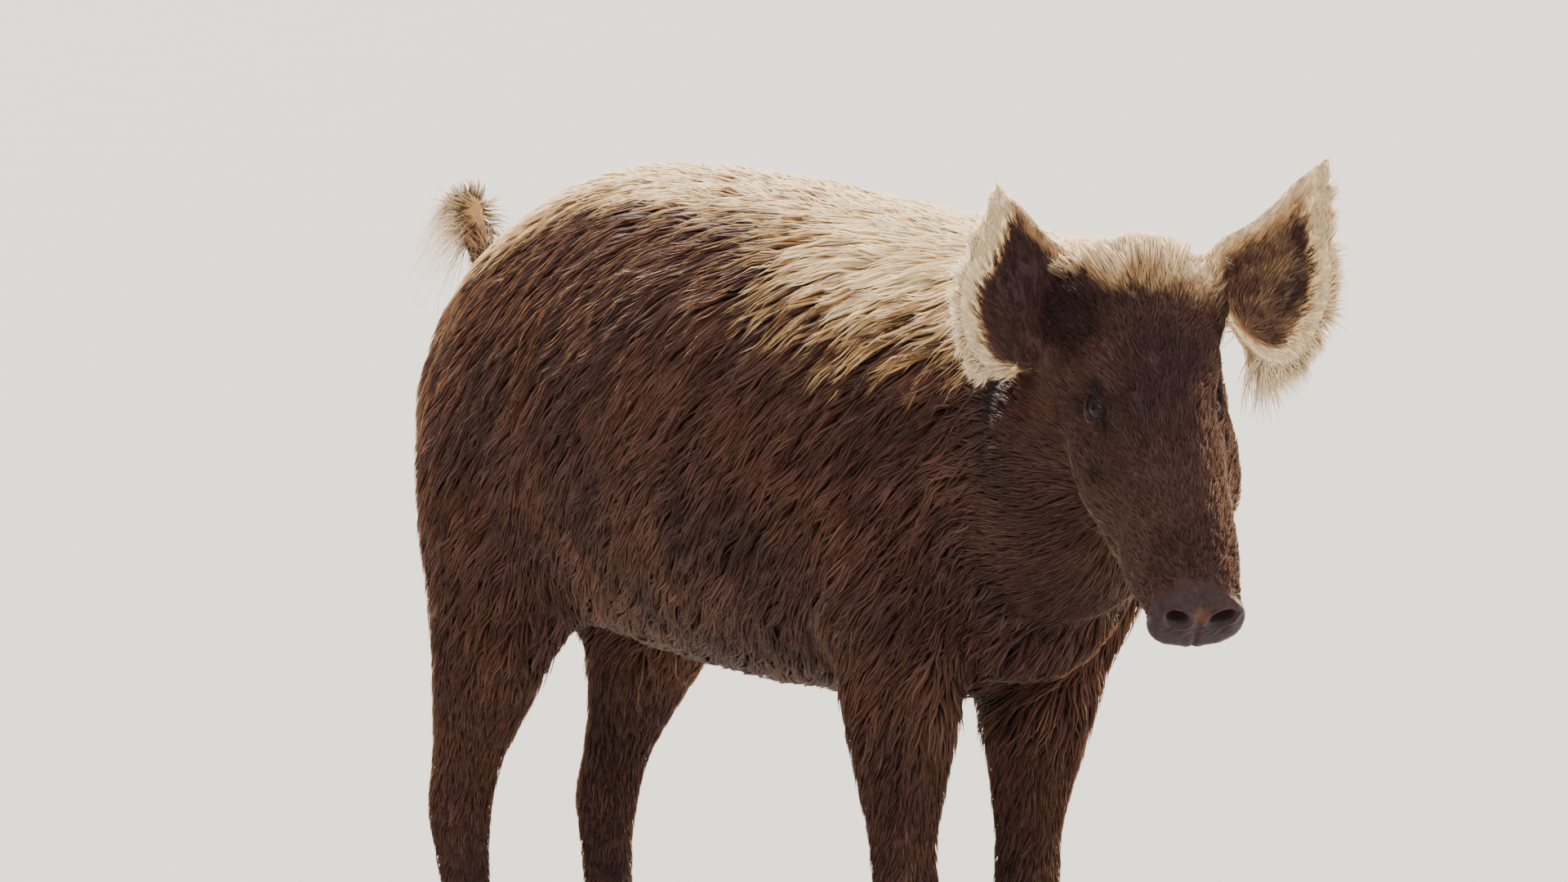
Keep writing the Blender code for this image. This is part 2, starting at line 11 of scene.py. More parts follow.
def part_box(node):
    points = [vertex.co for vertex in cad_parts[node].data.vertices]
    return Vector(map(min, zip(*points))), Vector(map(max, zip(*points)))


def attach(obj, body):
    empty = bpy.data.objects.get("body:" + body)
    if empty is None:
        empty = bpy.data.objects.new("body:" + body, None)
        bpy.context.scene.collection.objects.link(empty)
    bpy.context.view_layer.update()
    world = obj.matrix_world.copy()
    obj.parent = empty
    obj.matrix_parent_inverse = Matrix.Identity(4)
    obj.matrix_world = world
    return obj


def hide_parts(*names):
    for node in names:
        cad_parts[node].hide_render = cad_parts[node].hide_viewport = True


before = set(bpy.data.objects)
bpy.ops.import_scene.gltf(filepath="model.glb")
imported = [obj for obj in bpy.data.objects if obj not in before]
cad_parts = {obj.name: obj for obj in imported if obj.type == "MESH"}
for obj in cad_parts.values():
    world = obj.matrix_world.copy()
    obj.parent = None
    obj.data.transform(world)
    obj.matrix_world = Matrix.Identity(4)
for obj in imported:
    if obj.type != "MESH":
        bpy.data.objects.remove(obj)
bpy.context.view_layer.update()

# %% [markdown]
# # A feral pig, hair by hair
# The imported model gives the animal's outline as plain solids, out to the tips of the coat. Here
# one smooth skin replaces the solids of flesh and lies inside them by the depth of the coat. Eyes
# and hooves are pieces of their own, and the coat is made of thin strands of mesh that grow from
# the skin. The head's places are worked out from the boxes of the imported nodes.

SEED = 7
MM = 0.001
# The animal faces -Y, and its left side is towards X.
REAR, UP = np.eye(3)[1:]
DOWN = -UP

# %% [markdown]
# ## The head's own axes
# The head is lowered and turned, so work on the face needs axes of its own: along the muzzle, to
# the animal's left, and up out of the brow. The two eyes give the left, and the line from between
# them to the snout disc gives the muzzle, once it is tilted up a little, because the disc sits
# lower on the muzzle than the eyes do.

# %% Head axes from the eyes and the snout disc
MUZZLE_TILT = math.radians(3.3)
EYE_ALONG = 0.135
EYE_BELOW = 0.045


def unit(vectors):
    """Vectors of length one."""
    vectors = np.asarray(vectors, float)
    return vectors / np.maximum(np.linalg.norm(vectors, axis=-1, keepdims=True), 1e-12)


def facing(vector, way):
    """The vector or its opposite, whichever points the given way."""
    return -vector if vector @ way < 0 else vector


def middle(node):
    """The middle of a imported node's box."""
    return np.mean([tuple(corner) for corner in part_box(node)], axis=0)


between_eyes = (middle("eye_left") + middle("eye_right")) / 2
head_left = unit(middle("eye_left") - middle("eye_right"))
to_disc = unit(middle("snout_disc") - between_eyes)
brow = facing(unit(np.cross(head_left, to_disc)), UP)
muzzle = to_disc * math.cos(MUZZLE_TILT) + brow * math.sin(MUZZLE_TILT)
brow = brow * math.cos(MUZZLE_TILT) - to_disc * math.sin(MUZZLE_TILT)
HEAD = np.array([muzzle, head_left, brow])
poll = between_eyes - muzzle * EYE_ALONG + brow * EYE_BELOW


def on_head(points):
    """Points in the head's axes: along the muzzle from the poll, to its left, and up."""
    return (points - poll) @ HEAD.T


def from_head(along, left, up):
    """The point in the row frame of a place given in the head's axes."""
    return poll + np.array([along, left, up]) @ HEAD


print("poll at", np.round(poll, 3), "muzzle points", np.round(muzzle, 2))

# %% [markdown]
# ## Working on meshes as arrays
# As an array of numbers, a hundred thousand points can be moved in one line, which keeps this
# script quick.

# %% Helpers for meshes
def new_object(name, data):
    """A new object in the scene."""
    made = bpy.data.objects.new(name, data)
    bpy.context.scene.collection.objects.link(made)
    return made


def vectors_of(items, field):
    """One vector of each item, as the rows of an array."""
    flat = np.empty(len(items) * 3, np.float32)
    items.foreach_get(field, flat)
    return flat.reshape(-1, 3).astype(float)


def points_of(mesh):
    return vectors_of(mesh.vertices, "co")


def normals_of(mesh):
    return vectors_of(mesh.vertex_normals, "vector")


def move_points(mesh, points):
    mesh.vertices.foreach_set("co", points.astype(np.float32).ravel())
    mesh.update()


def averager(mesh):
    """A function that replaces each point's values by the mean of its neighbours' values."""
    ends = np.empty(len(mesh.edges) * 2, np.int32)
    mesh.edges.foreach_get("vertices", ends)
    a, b = ends.reshape(-1, 2).T
    size = len(mesh.vertices)
    count = np.maximum(np.bincount(a, minlength=size) + np.bincount(b, minlength=size), 1)

    def average(values, passes=1):
        if values.ndim > 1:
            return np.stack([average(column, passes) for column in values.T], axis=1)
        for _ in range(passes):
            values = (np.bincount(a, values[b], size) + np.bincount(b, values[a], size)) / count
        return values

    return average


def relaxed(points, average, weight, passes):
    """The points, each moved part of the way to the mean of its neighbours in every pass."""
    for _ in range(passes):
        points = points + weight * (average(points) - points)
    return points


def fade(values, low, high):
    """Rises smoothly from 0 at low to 1 at high, or falls if high is the lower one."""
    t = np.clip((values - low) / (high - low), 0, 1)
    return t * t * (3 - 2 * t)


def bell(values, wide):
    """1 where the values are 0, and next to nothing where they are twice the width."""
    return np.exp(-((values / wide) ** 2))


def tree_of(places):
    """A tree that finds the one of these places that is nearest to a point."""
    tree = KDTree(len(places))
    for number, place in enumerate(places):
        tree.insert(place, number)
    tree.balance()
    return tree


def mesh_from(bm, name):
    """The BMesh as a mesh. The BMesh is used up."""
    mesh = bpy.data.meshes.new(name)
    bm.to_mesh(mesh)
    bm.free()
    return mesh


def with_modifiers(obj):
    """The object's mesh as its modifiers leave it. The object is removed."""
    graph = bpy.context.evaluated_depsgraph_get()
    mesh = bpy.data.meshes.new_from_object(obj.evaluated_get(graph))
    bpy.data.objects.remove(obj)
    return mesh


def wrapped(mesh, voxel):
    """The mesh wrapped in one closed surface of squares of this size."""
    obj = new_object("wrapped", mesh)
    wrap = obj.modifiers.new("wrap", "REMESH")
    wrap.mode = "VOXEL"
    wrap.voxel_size = voxel
    return with_modifiers(obj)


def dress(mesh, material):
    """Gives the mesh its one material and smooth shading."""
    mesh.materials.clear()
    mesh.materials.append(material)
    mesh.shade_smooth()


def store(mesh, kind="FLOAT", domain="POINT", **fields):
    """Adds attributes to the mesh. Rows of three are stored as vectors."""
    for name, values in fields.items():
        values = np.ascontiguousarray(values, np.int32 if kind == "INT" else np.float32)
        vector = values.ndim == 2
        made = mesh.attributes.new(name, "FLOAT_VECTOR" if vector else kind, domain)
        made.data.foreach_set("vector" if vector else "value", values.ravel())


# %% [markdown]
# ## One skin from many solids
# The solids are parted by cuts 0.3 mm wide. Each is swelled by a hair's breadth, so that
# neighbours touch, and a voxel remesh then wraps them all in one closed surface without seams.
# Its squares are small enough for the ears. The smooth trunk is thinned again afterwards, because
# the coat will hide it.

# %% Wrap the flesh in one surface
SWELL = 0.6 * MM
VOXEL = 3.0 * MM
WELD = 0.01 * MM
LEGS = [f"{pair}_{side}" for pair in ("foreleg", "hindleg") for side in ("left", "right")]
LIMBS = ("shoulder_left", "shoulder_right", "thigh_left", "thigh_right")
HORN = [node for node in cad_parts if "hoof" in node or "dewclaw" in node]
EYES = ["eye_left", "eye_right"]
FLESH = [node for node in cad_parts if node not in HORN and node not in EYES]


def merged_copy(node, swell=0.0):
    """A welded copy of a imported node's mesh, swelled along its normals."""
    bm = bmesh.new()
    bm.from_mesh(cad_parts[node].data)
    bmesh.ops.remove_doubles(bm, verts=bm.verts[:], dist=WELD)
    bm.normal_update()
    for v in bm.verts:
        v.co += v.normal * swell
    return mesh_from(bm, f"{node}_copy")


bm = bmesh.new()
for node in FLESH + EYES:
    bm.from_mesh(merged_copy(node, SWELL))
skin_mesh = wrapped(mesh_from(bm, "flesh"), VOXEL)
print("wrapped flesh:", len(skin_mesh.vertices), "points")

# %% [markdown]
# ## What grows where
# A coat differs from place to place. One table says, for each named part of the body, how deep the
# coat is, how long and wide its strands are and how many stand on a square centimetre. A point of
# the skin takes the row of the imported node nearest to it, and the values are then blended over the
# skin, so that no part ends in a step.

# %% The coat's table
# The columns are how much the solid is smoothed, the coat's depth in mm, a strand's length and
# width in mm, strands per square centimetre, and how strongly they point rearwards and down.
COAT = {
    "snout_disc": (0.09, 0.0, 5, 0.9, 20.0, 0.0, 0.0),
    "head": (0.14, 3.2, 13, 1.8, 20.0, 0.0, 0.0),
    "lower_jaw": (0.30, 5.5, 24, 2.2, 8.0, 1.0, 0.5),
    "ear": (0.08, 1.3, 12, 1.4, 15.0, 0.0, 0.0),
    "neck": (0.80, 12.0, 54, 4.0, 4.0, 1.0, 0.8),
    "chest": (1.00, 11.0, 58, 4.3, 3.9, 1.0, 1.0),
    "barrel": (1.00, 10.5, 58, 4.3, 3.9, 1.0, 1.0),
    "rump": (1.00, 9.5, 50, 4.0, 3.8, 0.9, 1.1),
    "shoulder": (0.60, 8.0, 46, 3.7, 4.0, 0.6, 1.0),
    "thigh": (0.60, 8.0, 42, 3.5, 4.0, 0.5, 1.0),
    "upper": (0.25, 4.0, 22, 2.4, 7.0, 0.3, 1.0),
    "lower": (0.16, 2.6, 13, 1.9, 9.5, 0.15, 1.0),
    "tail": (0.15, 7.0, 34, 1.1, 15.0, 0.0, 0.0),
}
SMOOTH, DEPTH, LENGTH, WIDTH, CROWD, REARWARD, DOWNWARD = range(7)
KINDS = list(COAT)
KIND_OF_FLESH = np.array([next(i for i, kind in enumerate(KINDS) if kind in node) for node in FLESH])
clouds = [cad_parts[node].data.vertices for node in FLESH]
near = tree_of([v.co for cloud in clouds for v in cloud])
owner = np.repeat(np.arange(len(FLESH)), [len(cloud) for cloud in clouds])


def nearest_nodes(points):
    """For each point, the number in FLESH of the node nearest to it."""
    return owner[[near.find(point)[1] for point in points.tolist()]]


def column(nodes, which):
    """One column of the table, for points that belong to these nodes."""
    return np.array([COAT[kind][which] for kind in KINDS])[KIND_OF_FLESH[nodes]]


# %% Smooth the wrapped flesh
SMOOTH_PASSES = 70
points = points_of(skin_mesh)
average = averager(skin_mesh)
weight = average(column(nearest_nodes(points), SMOOTH), 12)
points = relaxed(points, average, weight[:, None] * 0.5, SMOOTH_PASSES)
move_points(skin_mesh, points)
print("smoothed; the facets of the solids are gone")

# %% [markdown]
# ## Fewer triangles where the coat hides them
# The face and the ears keep their fine squares, and the rest is thinned by a Decimate modifier,
# which reads where it may thin from a vertex group.

# %% Thin the body
THINNED_SHARE = 0.235
FINE_KINDS = [KINDS.index(kind) for kind in ("head", "snout_disc", "ear", "lower_jaw")]
skin = new_object("skin", skin_mesh)
group = skin.vertex_groups.new(name="may_thin")
fine = np.isin(KIND_OF_FLESH[nearest_nodes(points)], FINE_KINDS)
for level, chosen in ((1.0, ~fine), (0.0, fine)):
    group.add(np.flatnonzero(chosen).tolist(), level, "REPLACE")
thin = skin.modifiers.new("thin", "DECIMATE")
thin.ratio = THINNED_SHARE
thin.vertex_group = group.name
thin.vertex_group_factor = 1
skin_mesh = with_modifiers(skin)
points = points_of(skin_mesh)
nodes = nearest_nodes(points)
print("skin:", len(skin_mesh.polygons), "triangles")

# %% [markdown]
# ## The skin lies under the coat
# Each point moves in along its normal by the coat's depth there. The poll carries a ragged tuft,
# so the coat is deeper on it. An ear's outline on the solids is that of its long fringe, and the
# ear itself is smaller: its outer edge and its lobe draw in, and its tip is slimmer.

# %% Depth of the coat, and the ears' own axes
POLL_TUFT = 6 * MM
FRINGE = 9 * MM
# Each ear's side, its root in the head's axes, and its axis and open face, given as out to its
# side, forward and up.
EAR_STANCE = {
    "ear_left": (1, (0.045, 0.069, -0.040), (0.51, -0.11, 0.85), (0.26, 0.97, -0.03)),
    "ear_right": (-1, (0.061, -0.063, -0.034), (0.17, -0.63, 0.76), (0.40, 0.74, 0.53)),
}
# The rim of either ear, as height up its axis and distance out: round the lobe to the tip, and
# down the inner side.
OUTER_RIM = [(-0.016, 0.008), (-0.024, 0.026), (-0.026, 0.046), (-0.023, 0.064), (-0.007, 0.080)]
OUTER_RIM += [(0.021, 0.084), (0.051, 0.081), (0.079, 0.069), (0.103, 0.045), (0.124, 0.024)]
OUTER_RIM += [(0.143, 0.014)]
INNER_RIM = [(0.143, 0.008), (0.127, 0.003), (0.112, -0.003), (0.094, -0.008), (0.073, -0.016)]
INNER_RIM += [(0.056, -0.026), (0.040, -0.037), (0.022, -0.033)]
EAR_MIDDLE = (0.050, 0.030)
TIP_OUT = 0.011
head_forward = unit(np.cross(head_left, UP))


class Ear:
    """An ear's root, its axis to the tip, the way out to its side, and its open face."""

    def __init__(self, node):
        self.node = node
        self.side, root, axis, opening = EAR_STANCE[node]
        stance = np.array([head_left * self.side, head_forward, UP])
        self.root = from_head(*root)
        self.axis = unit(axis @ stance)
        opening = opening @ stance
        self.opening = unit(opening - self.axis * (opening @ self.axis))
        self.outward = facing(unit(np.cross(self.axis, self.opening)), head_left * self.side)
        self.height = self.along(points_of(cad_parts[node].data))[:, 0].max()

    def along(self, points):
        """Points as height up the ear, distance out to its side, and distance out of its cup."""
        return (points - self.root) @ np.array([self.axis, self.outward, self.opening]).T

    def off_rim(self, points, rim):
        """How far each point is from a rim, seen flat on."""
        places = self.along(points)[:, None, :2]
        rim = np.array(rim)
        steps = np.linspace(0, 1, 8)[:, None, None]
        dense = (rim[:-1] + steps * np.diff(rim, axis=0)).reshape(-1, 2)
        return np.linalg.norm(places - dense, axis=2).min(axis=1)


ears = [Ear(node) for node in EAR_STANCE]
for ear in ears:
    print(ear.node, "stands", round(ear.height, 3), "above its root")


def is_node(*names):
    """A mask of the skin's points that belong to the named nodes."""
    return np.isin(nodes, [FLESH.index(name) for name in names])


def each_ear():
    """Each ear with the mask of its points, their height up it and their distance out."""
    for ear in ears:
        chosen = is_node(ear.node)
        yield ear, chosen, *ear.along(points[chosen]).T[:2]


# %% Move the skin in
average = averager(skin_mesh)
along, leftward, upward = on_head(points).T
depth = column(nodes, DEPTH) * MM
depth += POLL_TUFT * fade(along, 0.055, 0.01) * fade(upward, -0.05, -0.02) * is_node("head", "neck")
depth = average(depth, 8)
points -= normals_of(skin_mesh) * depth[:, None]
shift = np.zeros_like(points)
for ear, chosen, up, out_to in each_ear():
    inward = unit(np.column_stack([EAR_MIDDLE[0] - up, EAR_MIDDLE[1] - out_to]))
    off_outer = ear.off_rim(points[chosen], OUTER_RIM)
    share = FRINGE * fade(off_outer, 0.030, 0.004) * fade(up, 0.135, 0.09)
    shift[chosen] = np.outer(share * inward[:, 0], ear.axis) + np.outer(share * inward[:, 1], ear.outward)
    slimming = 0.5 * fade(up / ear.height, 0.80, 0.98) * (TIP_OUT - out_to)
    shift[chosen] += np.outer(slimming, ear.outward)
points += average(shift, 6)
points = relaxed(points, average, 0.4, 2)
move_points(skin_mesh, points)
print("coat depth, mm: up to", round(float(depth.max()) / MM, 1))

# %% [markdown]
# ## Unwrap
# Each strand maps onto a small patch of the skin's map at its root, so the map has to follow the
# skin's own shape. Smart UV Project cuts the skin into flat-lying charts.

# %% Unwrap the skin
MAP = "OFBake"
skin = new_object("skin", skin_mesh)
skin_mesh.uv_layers.new(name=MAP)
bpy.context.view_layer.objects.active = skin
skin.select_set(True)
bpy.ops.object.mode_set(mode="EDIT")
bpy.ops.mesh.select_all(action="SELECT")
bpy.ops.uv.smart_project(angle_limit=math.radians(66), island_margin=0.002)
bpy.ops.object.mode_set(mode="OBJECT")
print("unwrapped:", len(skin_mesh.uv_layers[MAP].data), "corners")

# %% [markdown]
# ## Finer squares for the features of the face
# Lids, nostrils and the slit of the mouth need smaller triangles than the cheeks do. Only the
# triangles there are divided, twice, which costs far less than a finer skin all over.

# %% Where the eyes look
EYE_RADIUS = 12.2 * MM
EYE_SINK = 2.2 * MM
EYE_SHIFT = 3.0 * MM
GAZE = (0.12, 0.86, 0.50)
SLIT_DROOP = 0.16


class Eye:
    """An eye's centre and its own axes: along its slit, up across it, and out of the head."""

    def __init__(self, word, side):
        self.node = f"eye_{word}"
        self.side = side
        self.out = unit(np.array([GAZE[0], side * GAZE[1], GAZE[2]]) @ HEAD)
        self.centre = middle(self.node) - self.out * EYE_SINK - head_left * EYE_SHIFT
        slit = muzzle - brow * SLIT_DROOP
        self.slit = unit(slit - self.out * (slit @ self.out))
        self.up = facing(unit(np.cross(self.out, self.slit)), brow)
        self.axes = np.array([self.slit, self.up, self.out])

    def local(self, points):
        return (points - self.centre) @ self.axes.T


eyes = [Eye("left", 1), Eye("right", -1)]

# %% Divide the triangles of the features
MUZZLE_END = 0.335
NOSTRIL = (0.0172, -0.0468)
MOUTH_CORNER = 0.172
MOUTH_FRONT = 0.318
MOUTH_END = 0.330


def mouth_line(along):
    """Height, in the head's axes, of the slit between the lip and the lower jaw."""
    return -0.093 + 0.185 * (along - 0.300) + 0.0025 * np.sin(along * 90)


def near_feature(points, spread):
    """A mask of the points near an eye, a nostril or the mouth."""
    along, left, up = on_head(points).T
    chosen = np.zeros(len(points), bool)
    for eye in eyes:
        chosen |= np.linalg.norm(points - eye.centre, axis=1) < 0.020 + spread
    off_slit = abs(up - mouth_line(along))
    chosen |= (off_slit < 0.004 + spread / 2) & (along > MOUTH_CORNER - 0.01) & (along < MOUTH_END)
    nostrils = np.hypot(abs(left) - NOSTRIL[0], up - NOSTRIL[1])
    chosen |= (nostrils < 0.009 + spread / 2) & (along > 0.315)
    chosen |= along > MUZZLE_END - 5 * spread + 0.030
    return chosen & (along > 0.05) & (along < 0.36) & (abs(left) < 0.09) & (up > -0.16)


def divided(mesh, spread):
    """The mesh with the triangles near the features cut into four."""
    bm = bmesh.new()
    bm.from_mesh(mesh)
    chosen = near_feature(points_of(mesh), spread)
    edges = [e for e in bm.edges if chosen[e.verts[0].index] and chosen[e.verts[1].index]]
    bmesh.ops.subdivide_edges(bm, edges=edges, cuts=1, use_grid_fill=True)
    bmesh.ops.triangulate(bm, faces=[f for f in bm.faces if len(f.verts) > 3])
    bm.to_mesh(mesh)
    bm.free()


divided(skin_mesh, 0.016)
divided(skin_mesh, 0.006)
points = points_of(skin_mesh)
average = averager(skin_mesh)
points = relaxed(points, average, near_feature(points, 0.012)[:, None] * 0.5, 4)
nodes = nearest_nodes(points)
print("skin:", len(skin_mesh.polygons), "triangles")

# %% [markdown]
# ## Lids, nostrils, mouth and folds
# The skin now runs straight over the eyes. Around each eye, the points inside an almond sink into
# the eyeball, which leaves it showing, and the points around the almond ride on the ball as lids
# do. Nostrils and the mouth are sunk the same way, and fine folds ring the eyes and cross the nose.

# %% Shape the face
SLIT_HALF = 9.6 * MM
UPPER_LID = 5.6 * MM
LOWER_LID = 4.4 * MM
LID = 1.3 * MM


def off_lid(eye, points):
    """How far outside the rim of the eye's almond each point lies, and how far it is in front."""
    a, b, d = eye.local(points).T
    high = np.where(b > 0, UPPER_LID, LOWER_LID)
    return (np.hypot(a / SLIT_HALF, b / high) - 1) * LOWER_LID, d


def on_lips(along, start, full):
    """1 along the mouth. It rises from 0 over a stretch that is given from the mouth's corner."""
    begun = fade(along, MOUTH_CORNER + start, MOUTH_CORNER + full)
    return begun * fade(along, MOUTH_END, MOUTH_FRONT)


for eye in eyes:
    off, front = off_lid(eye, points)
    rim = EYE_RADIUS + LID + 1.1 * MM * fade(off, 0, 3 * MM)
    folds = 0.35 * MM * np.sin(off / (3.6 * MM) * 2 * np.pi) * fade(off, 2.5 * MM, 4.5 * MM)
    target = rim + (EYE_RADIUS - 3.5 * MM - rim) * fade(off, 0, -1.0 * MM)
    offset = points - eye.centre
    reach = np.linalg.norm(offset, axis=1)
    hold = fade(front, 0.5 * MM, 4 * MM) * fade(off, 12 * MM, 4 * MM)
    around = fade(front, 0.5 * MM, 4 * MM) * fade(off, 16 * MM, 8 * MM)
    reach_now = reach + (target - reach) * hold + folds * around
    points = eye.centre + offset * (reach_now / reach)[:, None]

move_points(skin_mesh, points)
along, leftward, upward = on_head(points).T
out = normals_of(skin_mesh)
on_face = is_node("head", "lower_jaw", "snout_disc")
on_disc = is_node("snout_disc")
off_slit = upward - mouth_line(along)
lip = on_face * on_lips(along, 0.0, 0.02)
points -= out * (3.2 * MM * bell(off_slit, 1.5 * MM) * lip)[:, None]
points += out * (1.2 * MM * bell(off_slit - 4 * MM, 2.6 * MM) * lip)[:, None]
for side in (-1, 1):
    a = leftward - side * NOSTRIL[0]
    b = upward - NOSTRIL[1] - side * a * 0.35
    ring = np.hypot(a / (9.4 * MM), b / (8.8 * MM))
    sink = 12 * MM * fade(ring, 1.0, 0.55) - 1.0 * MM * bell(ring - 1.35, 0.22)
    turn = np.arctan2(b, a)
    creases = np.sin(11 * turn + 2 * np.sin(3 * turn) + 5 * ring)
    sink += 0.30 * MM * creases * bell(ring - 1.75, 0.35) * on_disc
    face_on = fade(along, 0.318, 0.326) * is_node("snout_disc", "head")
    points -= np.outer(sink * face_on, muzzle)
bridge = fade(along, 0.262, 0.285) * fade(along, 0.322, 0.312) * fade(upward, -0.075, -0.050)
wavy = 2.5 * np.sin(leftward / (6 * MM))
ripple = np.sin(along / (9 * MM) * 2 * np.pi + wavy + 9 * abs(leftward) / 0.04)
ripple *= 0.6 + 0.4 * np.sin(leftward / (9 * MM) + along / (11 * MM))
points += out * (0.40 * MM * ripple * bridge * on_face)[:, None]
groove = bell(leftward, 2.2 * MM) * fade(along, 0.326, 0.332) * on_disc
points -= out * (1.0 * MM * groove)[:, None]
move_points(skin_mesh, points)
print("face shaped; the lids open", round(2 * SLIT_HALF / MM), "mm wide")

# %% [markdown]
# ## Markings, painted light and painted shade
# The coat is rusty brown, and straw-coloured on the tail. The straw and cream along the back, on the
# rear of the rump, on the poll, round the ears and on the cheek ruff are painted light, the glow of
# a lamp high behind, and a painted highlight lies on the snout disc. The coat is dark on the legs,
# round the eyes, along the mouth and on the bridge of the nose, and painted shade darkens the ears'
# cups, the hollows under the ears and before the eyes, and the roots of the ears. Skin and coat
# have to agree, so each marking is a number from 0 to 1 stored on the skin, and each strand takes
# the number at its root.

# %% Store the markings on the skin
CHEEK_SPOT = (0.190, -0.050, -0.062)
points = points_of(skin_mesh)
average = averager(skin_mesh)
out = normals_of(skin_mesh)
for _ in range(4):
    out = unit(average(out))
along, leftward, upward = on_head(points).T
_, y, z = points.T
on_ears = is_node("ear_left", "ear_right")
on_tail = is_node("tail_base", "tail_middle", "tail_tip")
on_trunk = is_node("neck", "chest", "barrel", "rump", *LIMBS)


def spot(place, far, full):
    """1 on the skin round a place, falling to 0 at the far distance."""
    return fade(np.linalg.norm(points - place, axis=1), far, full)


FAR_OFF = 1.0
edge_of_ear, in_cup, sheltered = np.zeros((3, len(points)))
off_outer = np.full(len(points), FAR_OFF)
# Each ear's rims, where the painted backlight glows, how far its skin faces into the cup, which takes
# painted shade, and the neck in front of the ear, which the painted light leaves out.
for ear, chosen, up, out_to in each_ear():
    off_outer[chosen] = ear.off_rim(points[chosen], OUTER_RIM)
    lobe_start = 0.018 - 0.025 * ear.side
    off_outer[chosen] += 0.1 * fade(out_to, lobe_start + 4 * MM, lobe_start - 4 * MM) * fade(up, 0.07, 0.04)
    off_inner = ear.off_rim(points[chosen], INNER_RIM)
    inner = (0.62 + 0.1 * ear.side) * fade(off_inner, (26 + 8 * ear.side) * MM, 4 * MM)
    edge = np.maximum(fade(off_outer[chosen], 25 * MM, 21 * MM), inner)
    edge_of_ear[chosen] = np.maximum(edge, 0.8 * fade(up / ear.height, 0.80, 0.90))
    in_cup[chosen] = fade(out[chosen] @ ear.opening, -0.2, 0.3)
    before_ear = fade((points - ear.root) @ ear.opening, -12 * MM, 0)
    before_ear *= spot(ear.root, 0.080, 0.060)
    sheltered = np.maximum(sheltered, before_ear * is_node("neck"))

# The back, the rear of the rump, the poll and the ears are pale as painted light from a lamp high
# behind: paler where the skin faces up and back, a painted rim down the rear of the rump, glowing
# rims and lit backs on the ears with shaded cups, and none on the neck in front of an ear. The tail
# is pale too.
withers = fade(y, -0.02, -0.17)
croup = fade(y, 0.24, 0.42)
sunlit = out @ unit([-0.1, 0.25, 0.95])
pale = fade(sunlit, 0.84 - 0.54 * withers - 0.17 * croup, 0.975 - 0.085 * withers)
pale *= on_trunk * fade(z, 0.50, 0.62) * fade(out[:, 2], 0.12, 0.38)
pale *= 1 - sheltered
faces_rear = fade(out @ unit([-0.45, 0.90, 0.0]), 0.80, 0.97)
pale += 0.13 * on_trunk * faces_rear * fade(z, 0.38, 0.55) * croup
poll_edge = np.where(leftward > 0, 0.055, 0.070 - 0.75 * along)
on_poll = fade(along, 0.084, 0.016) * fade(upward, -0.075, -0.03)
pale += on_face * on_poll * fade(abs(leftward) - poll_edge, 8 * MM, -8 * MM)
on_ear_side = 0.35 - (0.25 - 0.05 * np.sign(leftward)) * in_cup
pale += on_ears * np.maximum(edge_of_ear, on_ear_side) + (0.54 - 0.34 * is_node("tail_base")) * on_tail

# Dark lids, a faint painted highlight round each eye socket, and painted shade in the hollows
# before the eyes and under the ears.
dark = np.zeros(len(points))
for eye in eyes:
    off, front = off_lid(eye, points)
    dark += fade(off, 4.5 * MM, 2.5 * MM) * (front > 0) * (abs(off) < 0.03)
    socket = from_head(0.150, eye.side * 0.036 - EYE_SHIFT, -0.029)
    pale += 0.06 * spot(socket, 16 * MM, 8 * MM) * fade(off, 3 * MM, 5 * MM)
    dark += 0.55 * spot(from_head(0.124, eye.side * 0.049 - EYE_SHIFT, -0.053), 19 * MM, 5 * MM)
    dark += 0.8 * spot(from_head(0.061, eye.side * 0.098, -0.118), 34 * MM, 14 * MM)

# The bridge of the nose, the cheek, painted shade round the roots of the ears and in their cups,
# and the legs.
dark += on_face * 0.42 * fade(along, 0.235, 0.285) * fade(upward, -0.10, -0.06)
dark += 0.6 * spot(from_head(*CHEEK_SPOT), 15 * MM, 6 * MM)
near_ear = sum(spot(ear.root, 0.050, 0.028) for ear in ears)
dark += on_face * 0.6 * near_ear * (1 - pale)
dark += on_ears * in_cup * (0.10 - 0.06 * np.sign(leftward)) * (1 - edge_of_ear)
dark += (~(on_face | on_ears | on_tail)) * 0.55 * fade(z, 0.36, 0.12)

# The ruff under the cheeks, with a little painted rim light, the mouth, and the bare disc of the
# snout, with a painted highlight between the nostrils and along its top rim.
cheek_ruff = on_face * fade(along, 0.17, 0.22) * fade(along, 0.315, 0.28) * fade(upward, -0.080, -0.100)
pale += 0.10 * cheek_ruff
off_slit = upward - mouth_line(along)
dark += 0.8 * bell(off_slit, 4 * MM) * on_face * on_lips(along, -5 * MM, 8 * MM)
bare = on_disc * fade(along, 0.322, 0.328)
between_nostrils = bell(leftward, 8 * MM) * bell(upward - NOSTRIL[1], 13 * MM)
# Painted highlight on the disc, between the nostrils and along its top rim.
disc_highlight = on_disc * np.maximum(between_nostrils, 0.4 * fade(upward, -0.042, -0.034))
pale += 0.55 * disc_highlight * bare
pale, dark, bare = (np.clip(average(values, 3), 0, 1) for values in (pale, dark, bare))
store(skin_mesh, pale=pale, dark=dark, bare=bare)
print("marked on average: pale", round(float(pale.mean()), 2), "and dark", round(float(dark.mean()), 2))

# %% [markdown]
# ## The lie of the coat
# Hair grows from the nose back over the face, rearwards and down over the trunk, down the legs and
# along the tail, and outwards on the ears. Each part gets its own direction, which is then laid
# flat on the skin and blended over the borders, so that the strands stream round the form. Round
# the ears the hair is short, and so is any that would reach into one.

